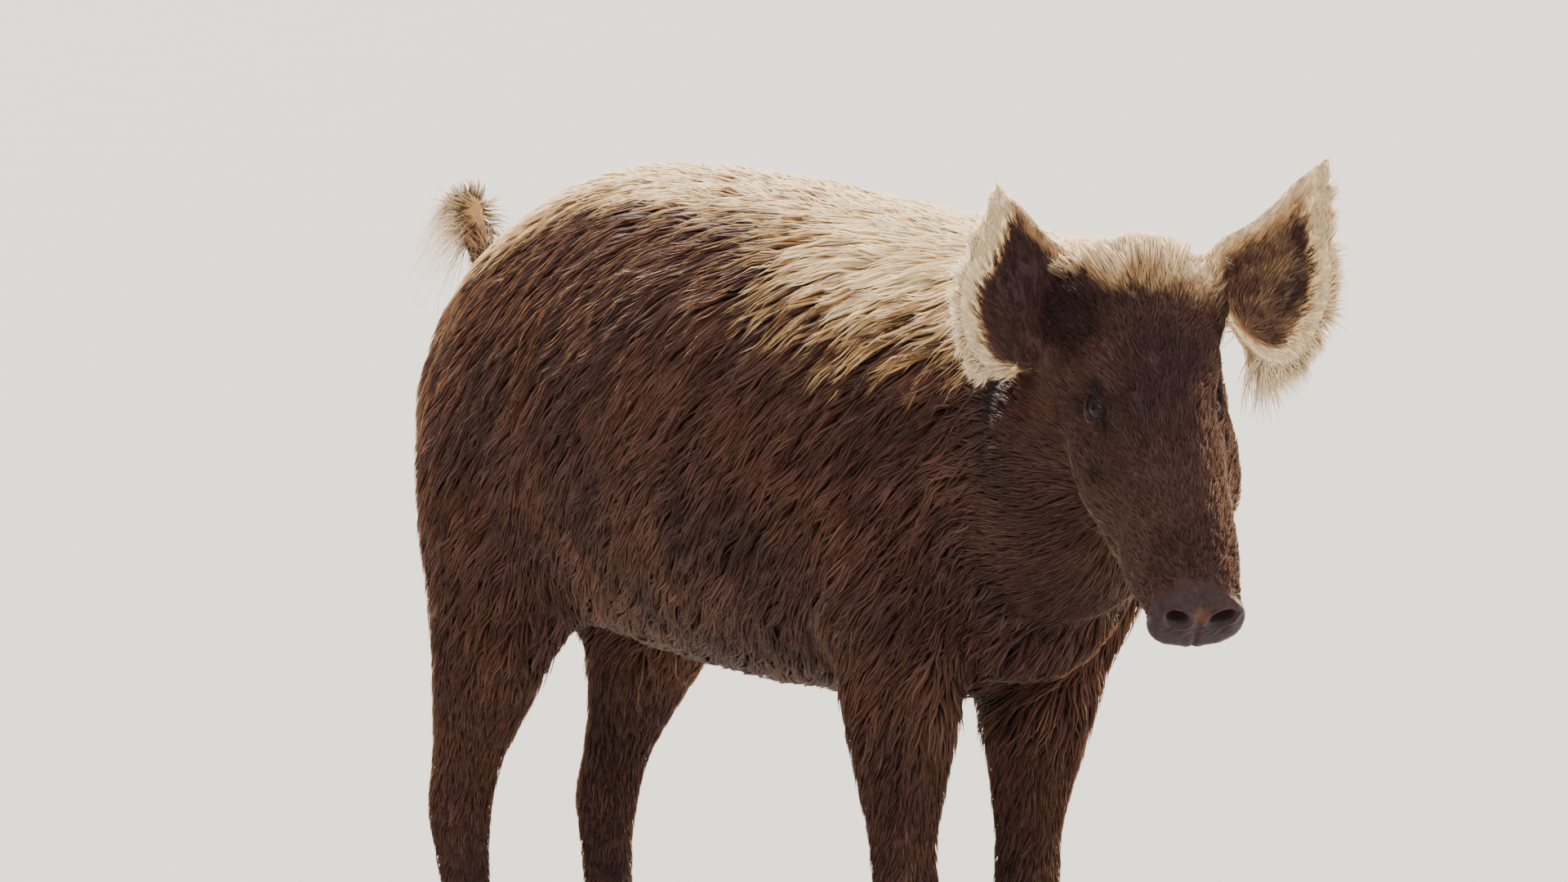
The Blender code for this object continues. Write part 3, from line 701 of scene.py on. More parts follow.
# %% Store direction, length and the rest on the skin
EAR_GAP = 9 * MM
flow = np.outer(column(nodes, REARWARD), REAR) + np.outer(column(nodes, DOWNWARD), DOWN)
fan = np.sign(leftward)[:, None] * head_left * fade(abs(leftward), 0.0, 0.05)[:, None]
face_flow = -muzzle + 0.55 * fan - 0.5 * fade(upward, -0.06, -0.12)[:, None] * brow
flow[is_node("head")] = face_flow[is_node("head")]
jaw = is_node("lower_jaw")
flow[jaw] = unit(face_flow[jaw]) + 0.8 * REAR + 0.5 * DOWN
at_tip, lobe = np.zeros((2, len(points)))
for ear, chosen, up, out_to in each_ear():
    leaving = unit(np.column_stack([up - EAR_MIDDLE[0], out_to - EAR_MIDDLE[1]]))
    at_tip[chosen] = fade(up / ear.height, 0.78, 0.93)
    leaving *= (0.4 + 1.6 * fade(off_outer[chosen], 0.03, 0.01) * (1 - at_tip[chosen]))[:, None]
    flow[chosen] = 0.8 * ear.axis + leaving[:, :1] * ear.axis + leaving[:, 1:] * ear.outward
    lobe[chosen] = (ear.side > 0) * fade(up, 0.026, 0.008) * fade(out_to, 0.064, 0.040)
    flow[chosen] += 2.0 * at_tip[chosen, None] * ear.axis
    lobe[chosen] *= fade(off_outer[chosen], 0.022, 0.012)
    flow[chosen] += 3.0 * lobe[chosen, None] * (DOWN - 0.35 * ear.side * head_left)
tail_way = middle("tail_middle") - middle("tail_base")
flow[is_node("tail_base")] = 0.6 * unit(tail_way) + 0.5 * REAR + 0.4 * DOWN
flow[is_node("tail_middle")] = 0.5 * REAR + 0.8 * DOWN
flow[is_node("tail_tip")] = 0.9 * unit(middle("tail_tip") - middle("tail_middle")) + 0.3 * REAR
flow = unit(flow)
for _ in range(14):
    flow = average(flow)
    flow = unit(flow - out * (flow * out).sum(axis=1, keepdims=True))

length = column(nodes, LENGTH) * MM
length += on_face * 22 * MM * on_poll * fade(abs(leftward), 0.060, 0.040)
length += on_face * 12 * MM * fade(upward, -0.075, -0.12) * fade(along, 0.26, 0.12)
length -= on_face * 5 * MM * fade(along, 0.16, 0.28) * fade(upward, -0.12, -0.08)
length += 8 * MM * cheek_ruff - (length - 12 * MM) * sheltered
coronet = is_node(*[f"{leg}_lower" for leg in LEGS]) * fade(z, 0.066, 0.050)
length += 7 * MM * coronet
rise = column(nodes, DEPTH) * MM + 3 * MM * cheek_ruff + 1.5 * MM * coronet
rise += 2.2 * POLL_TUFT * fade(along, 0.060, 0.02) * fade(upward, -0.05, -0.02) * is_node("head", "neck")
width = column(nodes, WIDTH) * MM
crowd = column(nodes, CROWD) * 1e4
for eye in eyes:
    off, front = off_lid(eye, points)
    crowd *= 1 - (front > -0.002) * fade(off, 3.4 * MM, 2.2 * MM) * (off < 0.03)
crowd *= 1 - fade(along, 0.326, 0.331) * on_face
crowd *= ~((abs(off_slit) < 4 * MM) & (along > MOUTH_CORNER) & on_face)
crowd *= 1 + 0.1 * in_cup
fringed = on_ears * fade(off_outer, 20 * MM, 12 * MM) * (1 - 0.9 * at_tip)
crowd *= 1 + 0.8 * coronet
loose = np.clip(fringed + 0.8 * is_node("tail_tip", "tail_middle") + 0.9 * coronet, 0, 1)
length += fringed * 5 * MM + fringed * lobe * 30 * MM - 4 * MM * at_tip
rise -= 0.7 * MM * at_tip
length, width, rise, loose = (average(values, 5) for values in (length, width, rise, loose))
ear_tree = tree_of(points[on_ears].tolist())


def to_ear(places):
    """How far each place is from the nearer ear."""
    return np.array([ear_tree.find(place)[2] for place in places.tolist()])


# No hair in the gap between neck and ear, or in the fold behind the right ear.
crowd *= ~(is_node("neck") & (to_ear(points) < EAR_GAP))
up, out_to, cupward = ears[1].along(points).T
in_fold = (abs(up - 0.063) < 6 * MM) & (abs(out_to + 0.002) < 21 * MM) & (cupward < -0.014)
crowd *= ~(in_fold & on_ears)
across_flow = np.cross(out, flow)
for part, turn in itertools.product((1.4, 1.0, 0.7, 0.4), (-0.45, 0.0, 0.45)):
    way = flow * math.cos(turn) + across_flow * math.sin(turn)
    reached = points + way * (part * length)[:, None] + out * rise[:, None]
    into_ear = (to_ear(reached) < EAR_GAP) & ~on_ears & (length > 18 * MM)
    length[into_ear] = 9 * MM
    rise[into_ear] = np.minimum(rise[into_ear], 3 * MM)
    width[into_ear] = np.minimum(width[into_ear], 1.8 * MM)
    crowd[into_ear] = np.maximum(crowd[into_ear], 14e4 * (crowd[into_ear] > 1e4))

# The lashes, whiskers, ear fringes and the switch of the tail have crowding of their own.
lash = np.zeros(len(points))
away = flow.copy()
for eye in eyes:
    off, front = off_lid(eye, points)
    a, b, _ = eye.local(points).T
    on_lid = (front > 4 * MM) * fade(off, -0.2 * MM, 0.1 * MM) * fade(off, 1.6 * MM, 1.2 * MM)
    lash += on_lid * fade(b, 0.5 * MM, 2 * MM) * 8e5
    chosen = (front > 0) & (abs(off) < 0.006)
    away[chosen] = unit(np.outer(a * 0.6, eye.slit) + np.outer(b, eye.up))[chosen]
whisker = on_face * fade(along, 0.18, 0.24) * fade(abs(off_slit), 0.022, 0.010) * 6e3
whisker *= crowd > 1e4
fringe = on_ears * fade(off_outer, 17 * MM, 12 * MM) * 2.6e5 * (1 - 0.85 * at_tip) * (1 + lobe)
switch = is_node("tail_tip") * 2.2e5 + is_node("tail_middle") * 0.9e5
store(skin_mesh, length=length, width=width, rise=rise, crowd=crowd, loose=loose)
store(skin_mesh, lash=lash, whisker=whisker, fringe=fringe, switch=switch)
store(skin_mesh, away=away, flow=flow, out=out)

# %% [markdown]
# ## Zones
# A piece of the coat stays small enough to be written out whole, so the skin is divided into
# zones, and each zone grows one piece. The strands overlap across the borders.

# %% Number the zones
ZONES = {
    "face": ("head", "lower_jaw", "snout_disc"),
    "ruff": ("head", "lower_jaw"),
    "ears": ("ear_left", "ear_right"),
    "neck": ("neck",),
    "chest": ("chest",),
    "barrel": ("barrel",),
    "rump": ("rump",),
    "limbs": LIMBS,
    "legs": tuple(f"{leg}_{half}" for leg in LEGS for half in ("upper", "lower")),
    "tail": ("tail_base", "tail_middle", "tail_tip"),
}
SPLIT = ("chest", "barrel", "rump")
skin_middle = points[is_node("barrel"), 0].mean()
corners = np.empty(len(skin_mesh.loops), np.int32)
skin_mesh.loops.foreach_get("vertex_index", corners)
first_corner = corners[::3]
zone = np.zeros(len(skin_mesh.polygons), int)
zone_numbers = {}
for name, members in ZONES.items():
    chosen = is_node(*members)[first_corner]
    if name == "ruff":
        chosen &= length[first_corner] > 16 * MM
    on_left = points[first_corner, 0] > skin_middle
    halves = [("_left", on_left), ("_right", ~on_left)] if name in SPLIT else [("", True)]
    for suffix, half in halves:
        zone_numbers[name + suffix] = len(zone_numbers) + 1
        zone[chosen & half] = zone_numbers[name + suffix]
store(skin_mesh, "INT", "FACE", zone=zone)
print("zones:", ", ".join(zone_numbers))

# %% [markdown]
# ## Materials
# Hair colour changes from root to tip and from strand to strand. Every material here is built from
# nodes. A helper adds a node, links what another node gives and sets what is a number. Sums and
# products of what nodes give are written as sums and products.

# %% A helper for node trees
class Value:
    """What a node gives. Arithmetic on it adds the node that does the sum."""

    def __init__(self, nodes, socket):
        self.nodes = nodes
        self.socket = socket
        self.is_vector = socket.type == "VECTOR"

    def sum(self, operation, other):
        kind = "ShaderNodeVectorMath" if self.is_vector else "ShaderNodeMath"
        return self.nodes.add(kind, self, other, operation=operation)

    def __add__(self, other):
        return self.sum("ADD", other)

    def __sub__(self, other):
        return self.sum("SUBTRACT", other)

    def __mul__(self, factor):
        return self.sum("SCALE" if self.is_vector else "MULTIPLY", factor)

    def __truediv__(self, other):
        return self.sum("DIVIDE", other)

    def __pow__(self, power):
        return self.sum("POWER", power)

    def __rsub__(self, number):
        return self.nodes.add("ShaderNodeMath", number, self, operation="SUBTRACT")


class Nodes:
    """Adds nodes to a tree, with values in the order of their enabled sockets."""

    def __init__(self, tree):
        self.tree = tree

    def put(self, value, socket):
        if isinstance(value, Value):
            self.tree.links.new(value.socket, socket)
        elif value is not None:
            socket.default_value = value

    def add(self, kind, *values, pick=0, **settings):
        made = self.tree.nodes.new(kind)
        for key, setting in settings.items():
            setattr(made, key, setting)
        for socket, value in zip([s for s in made.inputs if s.enabled], values):
            self.put(value, socket)
        return Value(self, [s for s in made.outputs if s.enabled][pick])

    def vector(self, operation, *values):
        return self.add("ShaderNodeVectorMath", *values, operation=operation)

    def smooth(self, value, low, high, to_low=0.0, to_high=1.0):
        settings = {"interpolation_type": "SMOOTHSTEP"}
        return self.add("ShaderNodeMapRange", value, low, high, to_low, to_high, **settings)

    def mix(self, factor, a, b, kind="RGBA"):
        return self.add("ShaderNodeMix", factor, a, b, data_type=kind)

    def noise(self, vector, scale, detail=2.0, roughness=0.5):
        return self.add("ShaderNodeTexNoise", vector, scale, detail, roughness)

    def xyz(self, x, y, z):
        return self.add("ShaderNodeCombineXYZ", x, y, z)

    def stored(self, name):
        """The number that the mesh stores under this name."""
        return self.add("ShaderNodeAttribute", attribute_name=name, pick=2)

    def place(self):
        """Where the shaded point is, in the object's own metres."""
        return self.add("ShaderNodeTexCoord", pick=3)


def new_material(name, colour, **fixed):
    """A Principled material, coloured by a function that adds its nodes.

    Its plain numbers are set on the shader's own sockets.
    """
    made = bpy.data.materials.new(name)
    made.use_nodes = True
    sockets = made.node_tree.nodes["Principled BSDF"].inputs
    for key, value in fixed.items():
        sockets[key.replace("_", " ")].default_value = value
    n = Nodes(made.node_tree)
    n.put(colour(n, sockets), sockets["Base Color"])
    return made


# Gold and cream serve the pale markings, most of them painted light, and the darkest colour serves the dark
# markings and the painted shade.
RUST = (0.104, 0.044, 0.031, 1)
BAY = (0.058, 0.028, 0.025, 1)
UMBER = (0.020, 0.011, 0.010, 1)
GOLD = (0.60, 0.32, 0.125, 1)
CREAM = (1.00, 0.74, 0.40, 1)
DARK_AND_SHADE = (0.015, 0.010, 0.011, 1)


def coat_colour(n, lighter=0.0):
    """The markings: rust, varied over the body, through gold to cream, mostly painted light, and the dark
    places, partly painted shade.
    """
    place = n.place()
    broad = n.smooth(n.noise(place, 9.0, 3.0), 0.35, 0.70)
    colour = n.mix(broad, RUST, BAY)
    ragged = n.noise(place, 38.0, 3.0) * 0.5 - 0.25
    pale = n.stored("pale")
    pale = pale + (ragged + lighter) * n.smooth(pale, 0.0, 0.15)
    dark_here = n.smooth(n.stored("dark") + ragged, 0.15, 0.85)
    colour = n.mix(n.smooth(pale, 0.08, 0.60), colour, GOLD)
    colour = n.mix(n.smooth(pale, 0.50, 1.00), colour, CREAM)
    return n.mix(dark_here, colour, DARK_AND_SHADE), pale


# %% The hair and the skin under it
def hair_colour(n, _):
    up_strand = n.stored("up_strand")
    tone = n.stored("tone")
    colour, pale = coat_colour(n, up_strand * 0.30 + (tone * 0.80 - 0.54))
    at_root = n.smooth(up_strand, 0.0, 0.55, 0.50, 0.0) * n.smooth(pale, 0.2, 0.8, 1.0, 0.15)
    colour = n.mix(at_root, colour, UMBER)
    single = n.noise(n.xyz(n.stored("sideways") * 2.6, tone * 90.0, up_strand), 1.6, 2.0, 0.6)
    shade = (n.smooth(single, 0.30, 0.70) * 0.75 + 0.25) * n.smooth(tone, 0.05, 0.95, 0.80, 1.75)
    shade = n.mix(n.smooth(pale, 0.2, 0.8, 0.0, 0.75), shade, 1.0, "FLOAT")
    return n.add("ShaderNodeHueSaturation", 0.5, 1.0, shade, 1.0, colour)


def hide_colour(n, sockets):
    colour, pale = coat_colour(n)
    # Under the coat the hide goes towards umber, partly the dark of the hair roots and partly painted shade
    # of the hair over it, less so under pale hair.
    colour = n.mix(n.smooth(pale, 0.2, 0.8, 0.45, 0.1), colour, UMBER)
    place = n.place()
    fine = n.noise(place, 700.0, 3.0, 0.6)
    pores = n.noise(place, 260.0, 2.0)
    naked = n.mix(n.smooth(pores, 0.35, 0.7), (0.038, 0.018, 0.020, 1), (0.021, 0.011, 0.014, 1))
    # Where the disc carries its painted highlight, the bare skin turns orange.
    naked = n.mix(n.smooth(pale, 0.1, 0.8, 0.0, 0.55), naked, (0.17, 0.062, 0.028, 1))
    mud = n.smooth(n.noise(place, 48.0, 3.0), 0.50, 0.68, 0.0, 0.6)
    naked = n.mix(mud, naked, (0.030, 0.024, 0.026, 1))
    bare = n.stored("bare")
    n.put(n.smooth(bare, 0.0, 1.0, 0.70, 0.32), sockets["Roughness"])
    bump = n.add("ShaderNodeBump", 0.55, 1.2 * MM, None, pores * 0.6 + fine)
    n.put(bump, sockets["Normal"])
    return n.mix(bare, colour, naked)


SOFT = {"Subsurface_Weight": 0.35, "Subsurface_Radius": (1.0, 0.7, 0.4), "Subsurface_Scale": 0.012}
DULL = {"Roughness": 0.55, "Specular_IOR_Level": 0.06, "Specular_Tint": (1.0, 0.78, 0.58, 1)}
hair = new_material("hair", hair_colour, **SOFT, **DULL)
hide = new_material("hide", hide_colour, Roughness=0.65, Specular_IOR_Level=0.15)
dress(skin_mesh, hide)
print("materials:", hair.name, "and", hide.name)

# %% [markdown]
# ## One strand
# A strand is a three-sided spike with a flat back, closed at both ends. Geometry Nodes will bend
# each copy, so the mesh only says, for each point, how far up the strand it is and which corner of
# its cross-section it makes.

# %% Make the strand
def triangles(mesh):
    """How many triangles the mesh comes to."""
    return len(mesh.loops) - 2 * len(mesh.polygons)


def strand_object(name, rings):
    """A closed spike: rings of three corners, then a tip."""
    levels = np.linspace(0, 1, rings + 1)[:-1]
    rows = [(level, side, high) for level in levels for side, high in ((-1, 0), (1, 0), (0, 1))]
    rows.append((1, 0, 0))
    bm = bmesh.new()
    v = [bm.verts.new(row) for row in rows]
    for k in range(0, 3 * rings, 3):
        for i, j in ((0, 1), (1, 2), (2, 0)):
            above = [v[k + 3 + j], v[k + 3 + i]] if k + 4 < len(v) else [v[-1]]
            bm.faces.new([v[k + i], v[k + j], *above])
    bm.faces.new(v[:3])
    bmesh.ops.recalc_face_normals(bm, faces=bm.faces[:])
    mesh = mesh_from(bm, name)
    up, side, high = np.transpose(rows)
    store(mesh, up_strand=up, sideways=side, ridge=high)
    dress(mesh, hair)
    strand = new_object(name, mesh)
    strand.hide_render = True
    print("a", name, "has", triangles(mesh), "triangles")
    return strand


lock = strand_object("lock", 4)
tuft = strand_object("tuft", 3)
bristle = strand_object("bristle", 2)

# %% [markdown]
# ## The tree that grows the coat
# Points are scattered over one zone of the skin, as crowded as the skin says. Each takes the place
# of the nearest of a sparser set of guides, because wet or muddy hair gathers in locks. A strand
# follows the lie of the coat from its root, leans towards its guide, waves with it, and keeps to
# the skin by asking for the nearest place on it. A loose strand, as on the ear's edge, goes
# straight on instead.

# %% Build the tree
INPUTS = {
    "Zone": 1,
    "Crowd from": "crowd",
    "Lie from": "flow",
    "Longer": 1.0,
    "Wider": 1.0,
    "Higher": 1.0,
    "Looser": 0.0,
    "Guides per square metre": 5500.0,
    "Gathering": 0.85,
    "Wave height": 2.6 * MM,
    "Wave length": 42 * MM,
    "Waywardness": 0.35,
    "Contrast": 1.0,
    "Droop": 0.0,
    "Seed": SEED,
}
SOCKETS = {int: "NodeSocketInt", float: "NodeSocketFloat", str: "NodeSocketString"}
PATCH = 0.003
ROOT_SINK = 1.2 * MM


def coat_tree():
    tree = bpy.data.node_groups.new("grow_coat", "GeometryNodeTree")
    new_socket = tree.interface.new_socket
    for name, kind in (("Skin", "Geometry"), ("Strand", "Object"), ("Material", "Material")):
        new_socket(name, in_out="INPUT", socket_type="NodeSocket" + kind)
    for name, value in INPUTS.items():
        new_socket(name, in_out="INPUT", socket_type=SOCKETS[type(value)]).default_value = value
    new_socket("Coat", in_out="OUTPUT", socket_type="NodeSocketGeometry")
    n = Nodes(tree)
    given = {s.name: Value(n, s) for s in tree.nodes.new("NodeGroupInput").outputs}
    skin_in, seed = given["Skin"], given["Seed"]
    position = n.add("GeometryNodeInputPosition")
    index = n.add("GeometryNodeInputIndex")

    def named(name, kind="FLOAT"):
        return n.add("GeometryNodeInputNamedAttribute", name, data_type=kind)

    def named_vector(name):
        return named(name, "FLOAT_VECTOR")

    def keep(geometry, name, kind, value, domain="POINT"):
        values = (geometry, True, name, value)
        return n.add("GeometryNodeStoreNamedAttribute", *values, data_type=kind, domain=domain)

    def scatter(where, crowd, seed):
        settings = {"distribute_method": "RANDOM"}
        return n.add("GeometryNodeDistributePointsOnFaces", skin_in, where, crowd, seed, **settings)

    def random(low, high, key, offset):
        return n.add("FunctionNodeRandomValue", low, high, key, seed + offset, data_type="FLOAT")

    def varied(shared, own, offset):
        """A random number: a part that strands with one guide share, and a part of a strand's own."""
        return random(*shared, guide, offset) + random(*own, index, offset + 1)

    # Roots and guides.
    zone = named("zone", "INT")
    in_zone = n.add("FunctionNodeCompare", zone, given["Zone"], data_type="INT", operation="EQUAL")
    roots = scatter(in_zone, named(given["Crowd from"]), seed)
    guides = scatter(True, given["Guides per square metre"], seed + 1)
    guide = n.add("GeometryNodeSampleNearest", guides, position, domain="POINT")
    settings = {"data_type": "FLOAT_VECTOR", "domain": "POINT"}
    guide_place = n.add("GeometryNodeSampleIndex", guides, position, guide, **settings)

    # What each root needs to know.
    normal = named_vector("out")
    drift = (n.noise(position, 14.0, 2.0) - 0.5) * 2.2
    turn = drift + random(-0.55, 0.55, guide, 2) + random(-0.30, 0.30, index, 3)
    turned = (named_vector(given["Lie from"]), (0, 0, 0), normal, turn * given["Waywardness"])
    lie = n.vector("NORMALIZE", n.add("ShaderNodeVectorRotate", *turned, rotation_type="AXIS_ANGLE"))
    to_guide = guide_place - position
    to_guide = to_guide - lie * n.vector("DOT_PRODUCT", to_guide, lie)
    to_guide = to_guide - normal * n.vector("DOT_PRODUCT", to_guide, normal)
    known = {
        "root": position,
        "root_out": normal,
        "lie": lie,
        "pull": to_guide * given["Gathering"],
        "root_map": named_vector(MAP),
        "reach": named("length") * (varied((0.80, 1.30), (-0.18, 0.12), 4) * given["Longer"]),
        "lift": named("rise") * (varied((0.66, 0.98), (-0.16, 0.10), 6) * given["Higher"]),
        "phase": random(0.0, 2 * math.pi, guide, 8),
        "tone": varied((-0.3, 0.3), (-0.2, 0.2), 9) * given["Contrast"] + 0.5,
    }
    geometry = roots
    for name, value in known.items():
        geometry = keep(geometry, name, "FLOAT_VECTOR" if value.is_vector else "FLOAT", value)

    # A copy of the strand on every root.
    strand = n.add("GeometryNodeObjectInfo", given["Strand"], False, pick=4)
    geometry = n.add("GeometryNodeInstanceOnPoints", geometry, True, strand)
    geometry = n.add("GeometryNodeRealizeInstances", geometry)

    # Bend it.
    up_strand, reach, lie = named("up_strand"), named("reach"), named_vector("lie")
    ideal = named_vector("root") + lie * (reach * up_strand)
    ideal = ideal + named_vector("pull") * n.smooth(up_strand, 0.0, 0.85)
    ideal = ideal - n.xyz(0.0, 0.0, reach * given["Droop"] * up_strand**2.0)
    loose = n.add("ShaderNodeMath", named("loose"), given["Looser"], operation="MAXIMUM")

    def settled(value, on_own):
        """The value at the nearest place on the skin, or a loose strand's own value."""
        values = (skin_in, value, 0, ideal)
        sampled = n.add("GeometryNodeSampleNearestSurface", *values, data_type="FLOAT_VECTOR")
        return n.mix(loose, sampled, on_own, "VECTOR")

    surface = settled(position, ideal)
    outward = n.vector("NORMALIZE", settled(named_vector("out"), named_vector("root_out")))
    sideways = n.vector("NORMALIZE", n.vector("CROSS_PRODUCT", outward, lie))
    falling = (1.0 - up_strand) ** 1.8
    height = named("lift") * (1.0 - falling) - falling * ROOT_SINK
    angle = reach * up_strand / given["Wave length"] * (2 * math.pi) + named("phase")
    wave = n.add("ShaderNodeMath", angle, operation="SINE") * (up_strand * given["Wave height"])
    taper = n.smooth(up_strand, 0.35, 1.0, 1.0, 0.12) * n.smooth(up_strand, 0.0, 0.25, 0.65, 1.0)
    broad = named("width") * given["Wider"] * 0.5 * taper
    height = named("ridge") * (broad * 0.6) + height
    place = surface + outward * height + sideways * (named("sideways") * broad + wave)
    geometry = n.add("GeometryNodeSetPosition", geometry, True, place)

    # Its patch of the map, and a clean finish.
    u = (up_strand - 0.5) * PATCH
    v = (named("sideways") - named("ridge")) * (PATCH / 4)
    patch = named_vector("root_map") + n.xyz(u, v, 0.0)
    geometry = keep(geometry, "patch", "FLOAT2", patch, domain="CORNER")
    geometry = n.add("GeometryNodeRealizeInstances", geometry)
    geometry = n.add("GeometryNodeSetMaterial", geometry, True, given["Material"])
    n.put(geometry, tree.nodes.new("NodeGroupOutput").inputs[0])
    return tree


grow = coat_tree()
print("the tree has", len(grow.nodes), "nodes")

# %% Grow a piece of the coat from each zone
KEPT = {"up_strand", "sideways", "tone", "pale", "dark", "patch", "position", "sharp_face"}


def coat_piece(name, zone, strand, seed, **changes):
    """One zone's strands as a plain mesh, with only what its material and map need."""
    grower = new_object("grower", skin_mesh)
    modifier = grower.modifiers.new("grow", "NODES")
    modifier.node_group = grow
    values = {"Strand": strand, "Zone": zone, "Seed": seed, "Material": hair, **changes}
    for item in grow.interface.items_tree:
        if item.in_out == "INPUT" and item.name in values:
            modifier[item.identifier] = values[item.name]
    mesh = with_modifiers(grower)
    for layer in [a.name for a in mesh.attributes if a.name not in KEPT and not a.name.startswith(".")]:
        mesh.attributes.remove(mesh.attributes[layer])
    mesh.uv_layers["patch"].name = MAP
    mesh.name = name
    piece = new_object(name, mesh)
    print(name, triangles(mesh), "triangles")
    return piece


STRAIGHT = {"Wave height": 0.5 * MM, "Guides per square metre": 3e4, "Gathering": 0.5, "Contrast": 0.4}
STRAIGHT_STRAND = {"face": bristle, "ears": bristle, "legs": bristle, "ruff": tuft}
coat = {}
for number, (name, zone) in enumerate(zone_numbers.items()):
    strand = STRAIGHT_STRAND.get(name, lock)
    changes = STRAIGHT if name in STRAIGHT_STRAND else {}
    coat[name] = coat_piece(f"coat_{name}", zone, strand, SEED + 20 * number, **changes)

# %% Grow the fringes, the switch of the tail, the lashes and the whiskers
EXTRAS = {
    "ear_fringe": ("ears", "fringe", tuft, {"Looser": 1.0, "Higher": 1.5, "Droop": 0.15}),
    "tail_switch": ("tail", "switch", lock, {"Longer": 1.5, "Looser": 1.0, "Wider": 0.6, "Droop": 0.8}),
    "lashes": ("face", "lash", tuft, {"Lie from": "away", "Higher": 2.0, "Looser": 1.0, "Wider": 0.5}),
    "whiskers": ("face", "whisker", tuft, {"Longer": 3.0, "Higher": 4.0, "Looser": 0.8, "Wider": 0.5}),
}
for number, (name, (zone, crowd_from, strand, changes)) in enumerate(EXTRAS.items()):
    changes = {"Crowd from": crowd_from, "Wave height": 1.2 * MM, "Waywardness": 0.8, **changes}
    coat[name] = coat_piece(name, zone_numbers[zone], strand, 500 + SEED + 20 * number, **changes)

# %% [markdown]
# ## Eyes
# A pig's eye is small, dark and wet. Each is a ball with the cornea raised a little in front, and
# what makes it look alive is the gloss: one smooth surface, with the iris and the pupil told apart
# by how far a point is from the middle of the gaze.

# %% Make the eyes
CORNEA = 0.8 * MM


def eye_colour(n, _):
    off = n.stored("off_gaze")
    iris = n.mix(n.noise(n.place(), 900.0, 3.0), (0.010, 0.005, 0.004, 1), (0.030, 0.013, 0.007, 1))
    colour = n.mix(n.smooth(off, 0.17, 0.22), (0.003, 0.002, 0.002, 1), iris)
    return n.mix(n.smooth(off, 0.48, 0.58), colour, (0.022, 0.012, 0.009, 1))


def eye_piece(eye, material):
    bm = bmesh.new()
    bmesh.ops.create_icosphere(bm, subdivisions=5, radius=1)
    ball = unit([v.co[:] for v in bm.verts])
    off_axis = np.arccos(np.clip(ball[:, 2], -1, 1))
    reach = EYE_RADIUS + CORNEA * fade(off_axis, 0.75, 0.25)
    for v, place in zip(bm.verts, eye.centre + (ball * reach[:, None]) @ eye.axes):
        v.co = place
    bmesh.ops.recalc_face_normals(bm, faces=bm.faces[:])
    mesh = mesh_from(bm, eye.node)
    store(mesh, off_gaze=np.hypot(ball[:, 0] / 1.3, ball[:, 1]))
    dress(mesh, material)
    return new_object(f"{eye.node}_ball", mesh)


SHINE = {"Specular_IOR_Level": 0.12, "Coat_Weight": 0.05, "Coat_Roughness": 0.04}
wet_eye = new_material("wet_eye", eye_colour, Roughness=0.12, **SHINE)
for eye in eyes:
    piece = eye_piece(eye, wet_eye)
    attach(piece, "root")
    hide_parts(eye.node)
    print(piece.name, triangles(piece.data), "triangles")

# %% [markdown]
# ## Hooves
# Each foot stands on two hooves and carries two dewclaws behind. Horn grows down in rings and is
# smooth but for them. A copy of each solid is wrapped anew, smoothed while its sole stays flat on
# the ground, and ringed.

# %% Make the hooves and dewclaws
HORN_VOXEL = 1.6 * MM
RING = 3.1 * MM
DEWCLAW_LEAN = 4.5 * MM


def horn_colour(n, sockets):
    place = n.place()
    height = n.add("ShaderNodeSeparateXYZ", place, pick=2)
    streaks = n.noise(n.add("ShaderNodeMapping", place, None, None, (1.0, 1.0, 0.12)), 420.0, 2.0)
    mud = height + n.noise(place, 90.0, 3.0) * 0.03
    colour = n.mix(streaks, (0.017, 0.010, 0.007, 1), (0.058, 0.034, 0.021, 1))
    n.put(n.smooth(streaks, 0.2, 0.8, 0.42, 0.70), sockets["Roughness"])
    return n.mix(n.smooth(mud, 0.032, 0.012), colour, (0.085, 0.055, 0.034, 1))


def horn_piece(node, material):
    mesh = wrapped(merged_copy(node), HORN_VOXEL)
    points = points_of(mesh)
    average = averager(mesh)
    sole = points[:, 2] < 1 * MM
    low = points[:, 2].min()
    for _ in range(5):
        points += 0.6 * (average(points) - points)
        points[sole, 2] = np.minimum(points[sole, 2], low + 0.5 * MM)
    climb = (points[:, 2] - low) / (points[:, 2].max() - low)
    narrowing = 0.16 if "hoof" in node else 0.50
    centre = points[:, :2].mean(axis=0)
    points[:, :2] = centre + (points[:, :2] - centre) * (1 - narrowing * climb**1.6)[:, None]
    if "dewclaw" in node:
        shank = middle(node[: node.index("_dewclaw")] + "_lower")[:2]
        points[:, :2] += np.outer(DEWCLAW_LEAN * climb, unit(shank - centre))
    move_points(mesh, points)
    out = normals_of(mesh)
    wall = fade(abs(out[:, 2]), 0.75, 0.45)
    ring = np.sin((points[:, 2] + 0.25 * abs(points[:, 1] - points[:, 1].mean())) / RING * 2 * np.pi)
    points += out * (0.22 * MM * ring * wall)[:, None]
    points[:, 2] = np.maximum(points[:, 2], low)
    move_points(mesh, points)
    dress(mesh, material)
    return new_object(f"{node}_horn", mesh)


horn = new_material("horn", horn_colour, Roughness=0.50, Specular_IOR_Level=0.20)
for node in HORN:
    piece = horn_piece(node, horn)
    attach(piece, "root")
    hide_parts(node)
print("hooves and dewclaws:", len(HORN), "pieces; the last has", triangles(piece.data), "triangles")

# %% [markdown]
# ## Put the animal together
# The skin stands for all the flesh, and the coat rides on the same body.

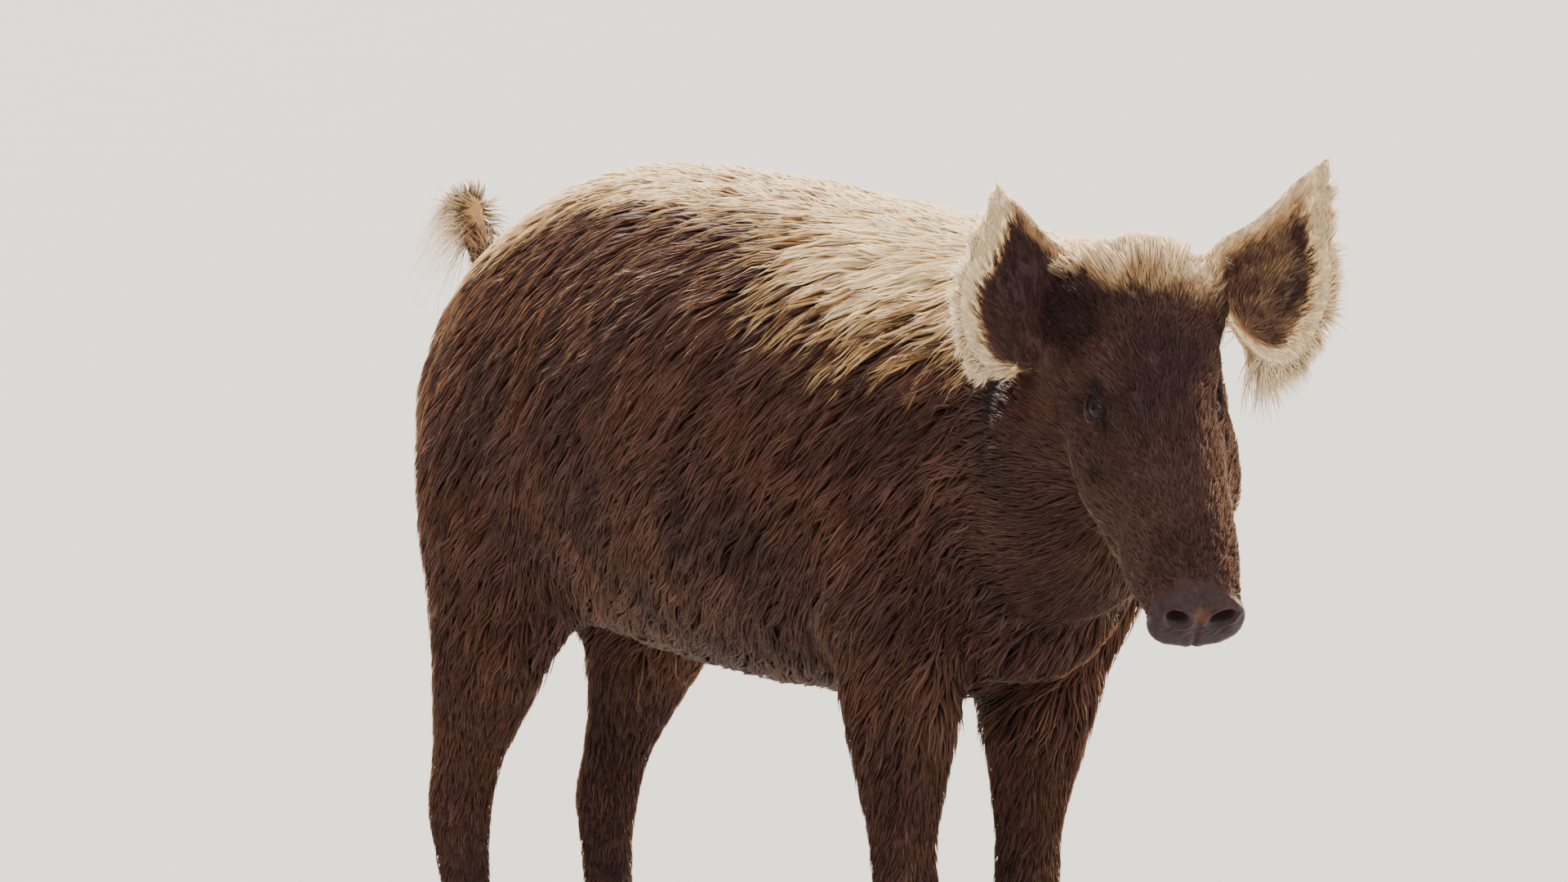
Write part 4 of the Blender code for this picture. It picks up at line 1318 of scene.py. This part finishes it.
# %% Skin and coat ride on the body
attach(skin, "root")
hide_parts(*FLESH)
SLOT_OF = {"face": "face", "ruff": "face", "lashes": "face", "whiskers": "face", "ears": "ear"}
for name, piece in coat.items():
    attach(piece, "root")
    "ear" if "ear" in name else SLOT_OF.get(name, "coat")
for strand in (lock, tuft, bristle):
    bpy.data.objects.remove(strand)
coat_triangles = sum(triangles(piece.data) for piece in coat.values())
print("coat:", len(coat), "pieces,", coat_triangles, "triangles; skin:", triangles(skin_mesh))

# %% [markdown]
# ## Floor, light and camera
# A pale floor, broad soft lamps and a pale world keep the light plain. The strongest lamp stands
# high behind the animal, so that the back and the rims of the ears glow, and a low warm one
# catches the edge of the face and the legs. A long lens from knee height keeps the proportions of
# the head and the trunk.

# %% Lay the floor
def floor_colour(n, _):
    return n.mix(n.noise(n.place(), 3.0, 4.0), (0.50, 0.50, 0.48, 1), (0.54, 0.54, 0.52, 1))


bm = bmesh.new()
bmesh.ops.create_grid(bm, x_segments=8, y_segments=8, size=60)
floor = new_object("floor", mesh_from(bm, "floor"))
floor.data.materials.append(new_material("pale_floor", floor_colour, Roughness=0.9))
print("floor laid")

# %% Light it
world = bpy.data.worlds.new("pale_world")
world.use_nodes = True
sky = world.node_tree.nodes["Background"].inputs
sky["Color"].default_value = (0.85, 0.895, 0.97, 1)
sky["Strength"].default_value = 0.75
bpy.context.scene.world = world
# Each lamp's direction, its spread in degrees, its strength and its colour.
SUNS = {
    "rim": ((0.22, 1.00, 0.85), 14, 11.0, (1.0, 0.90, 0.74)),
    "edge": ((1.00, 0.35, 0.25), 12, 3.5, (1.0, 0.70, 0.42)),
    "key": ((-0.75, -0.55, 0.85), 40, 1.7, (0.95, 0.96, 1.0)),
    "fill": ((0.55, -1.0, 0.30), 60, 1.7, (0.84, 0.89, 1.0)),
}
for name, (way, spread, strength, colour) in SUNS.items():
    lamp = bpy.data.lights.new(name, "SUN")
    lamp.angle = math.radians(spread)
    lamp.energy = strength
    lamp.color = colour
    lamp_object = new_object(name, lamp)
    lamp_object.location = 5 * Vector(way)
    lamp_object.rotation_euler = Vector(way).to_track_quat("Z", "Y").to_euler()
print("lamps:", ", ".join(SUNS))

# %% Set up the camera
TARGET = Vector((-0.0871, -0.0298, 0.5435))
AZIMUTH = math.radians(-32)
ELEVATION = math.radians(4)
DISTANCE = 8.3
back = Vector((math.sin(AZIMUTH) * math.cos(ELEVATION), -math.cos(AZIMUTH) * math.cos(ELEVATION), 0))
back.z = math.sin(ELEVATION)
camera_data = bpy.data.cameras.new("camera")
camera_data.lens = 240
camera_data.sensor_width = 36
camera = new_object("camera", camera_data)
camera.location = TARGET + DISTANCE * back
camera.rotation_euler = (-back).to_track_quat("-Z", "Y").to_euler()
bpy.context.scene.camera = camera
print("camera at", [round(c, 2) for c in camera.location])
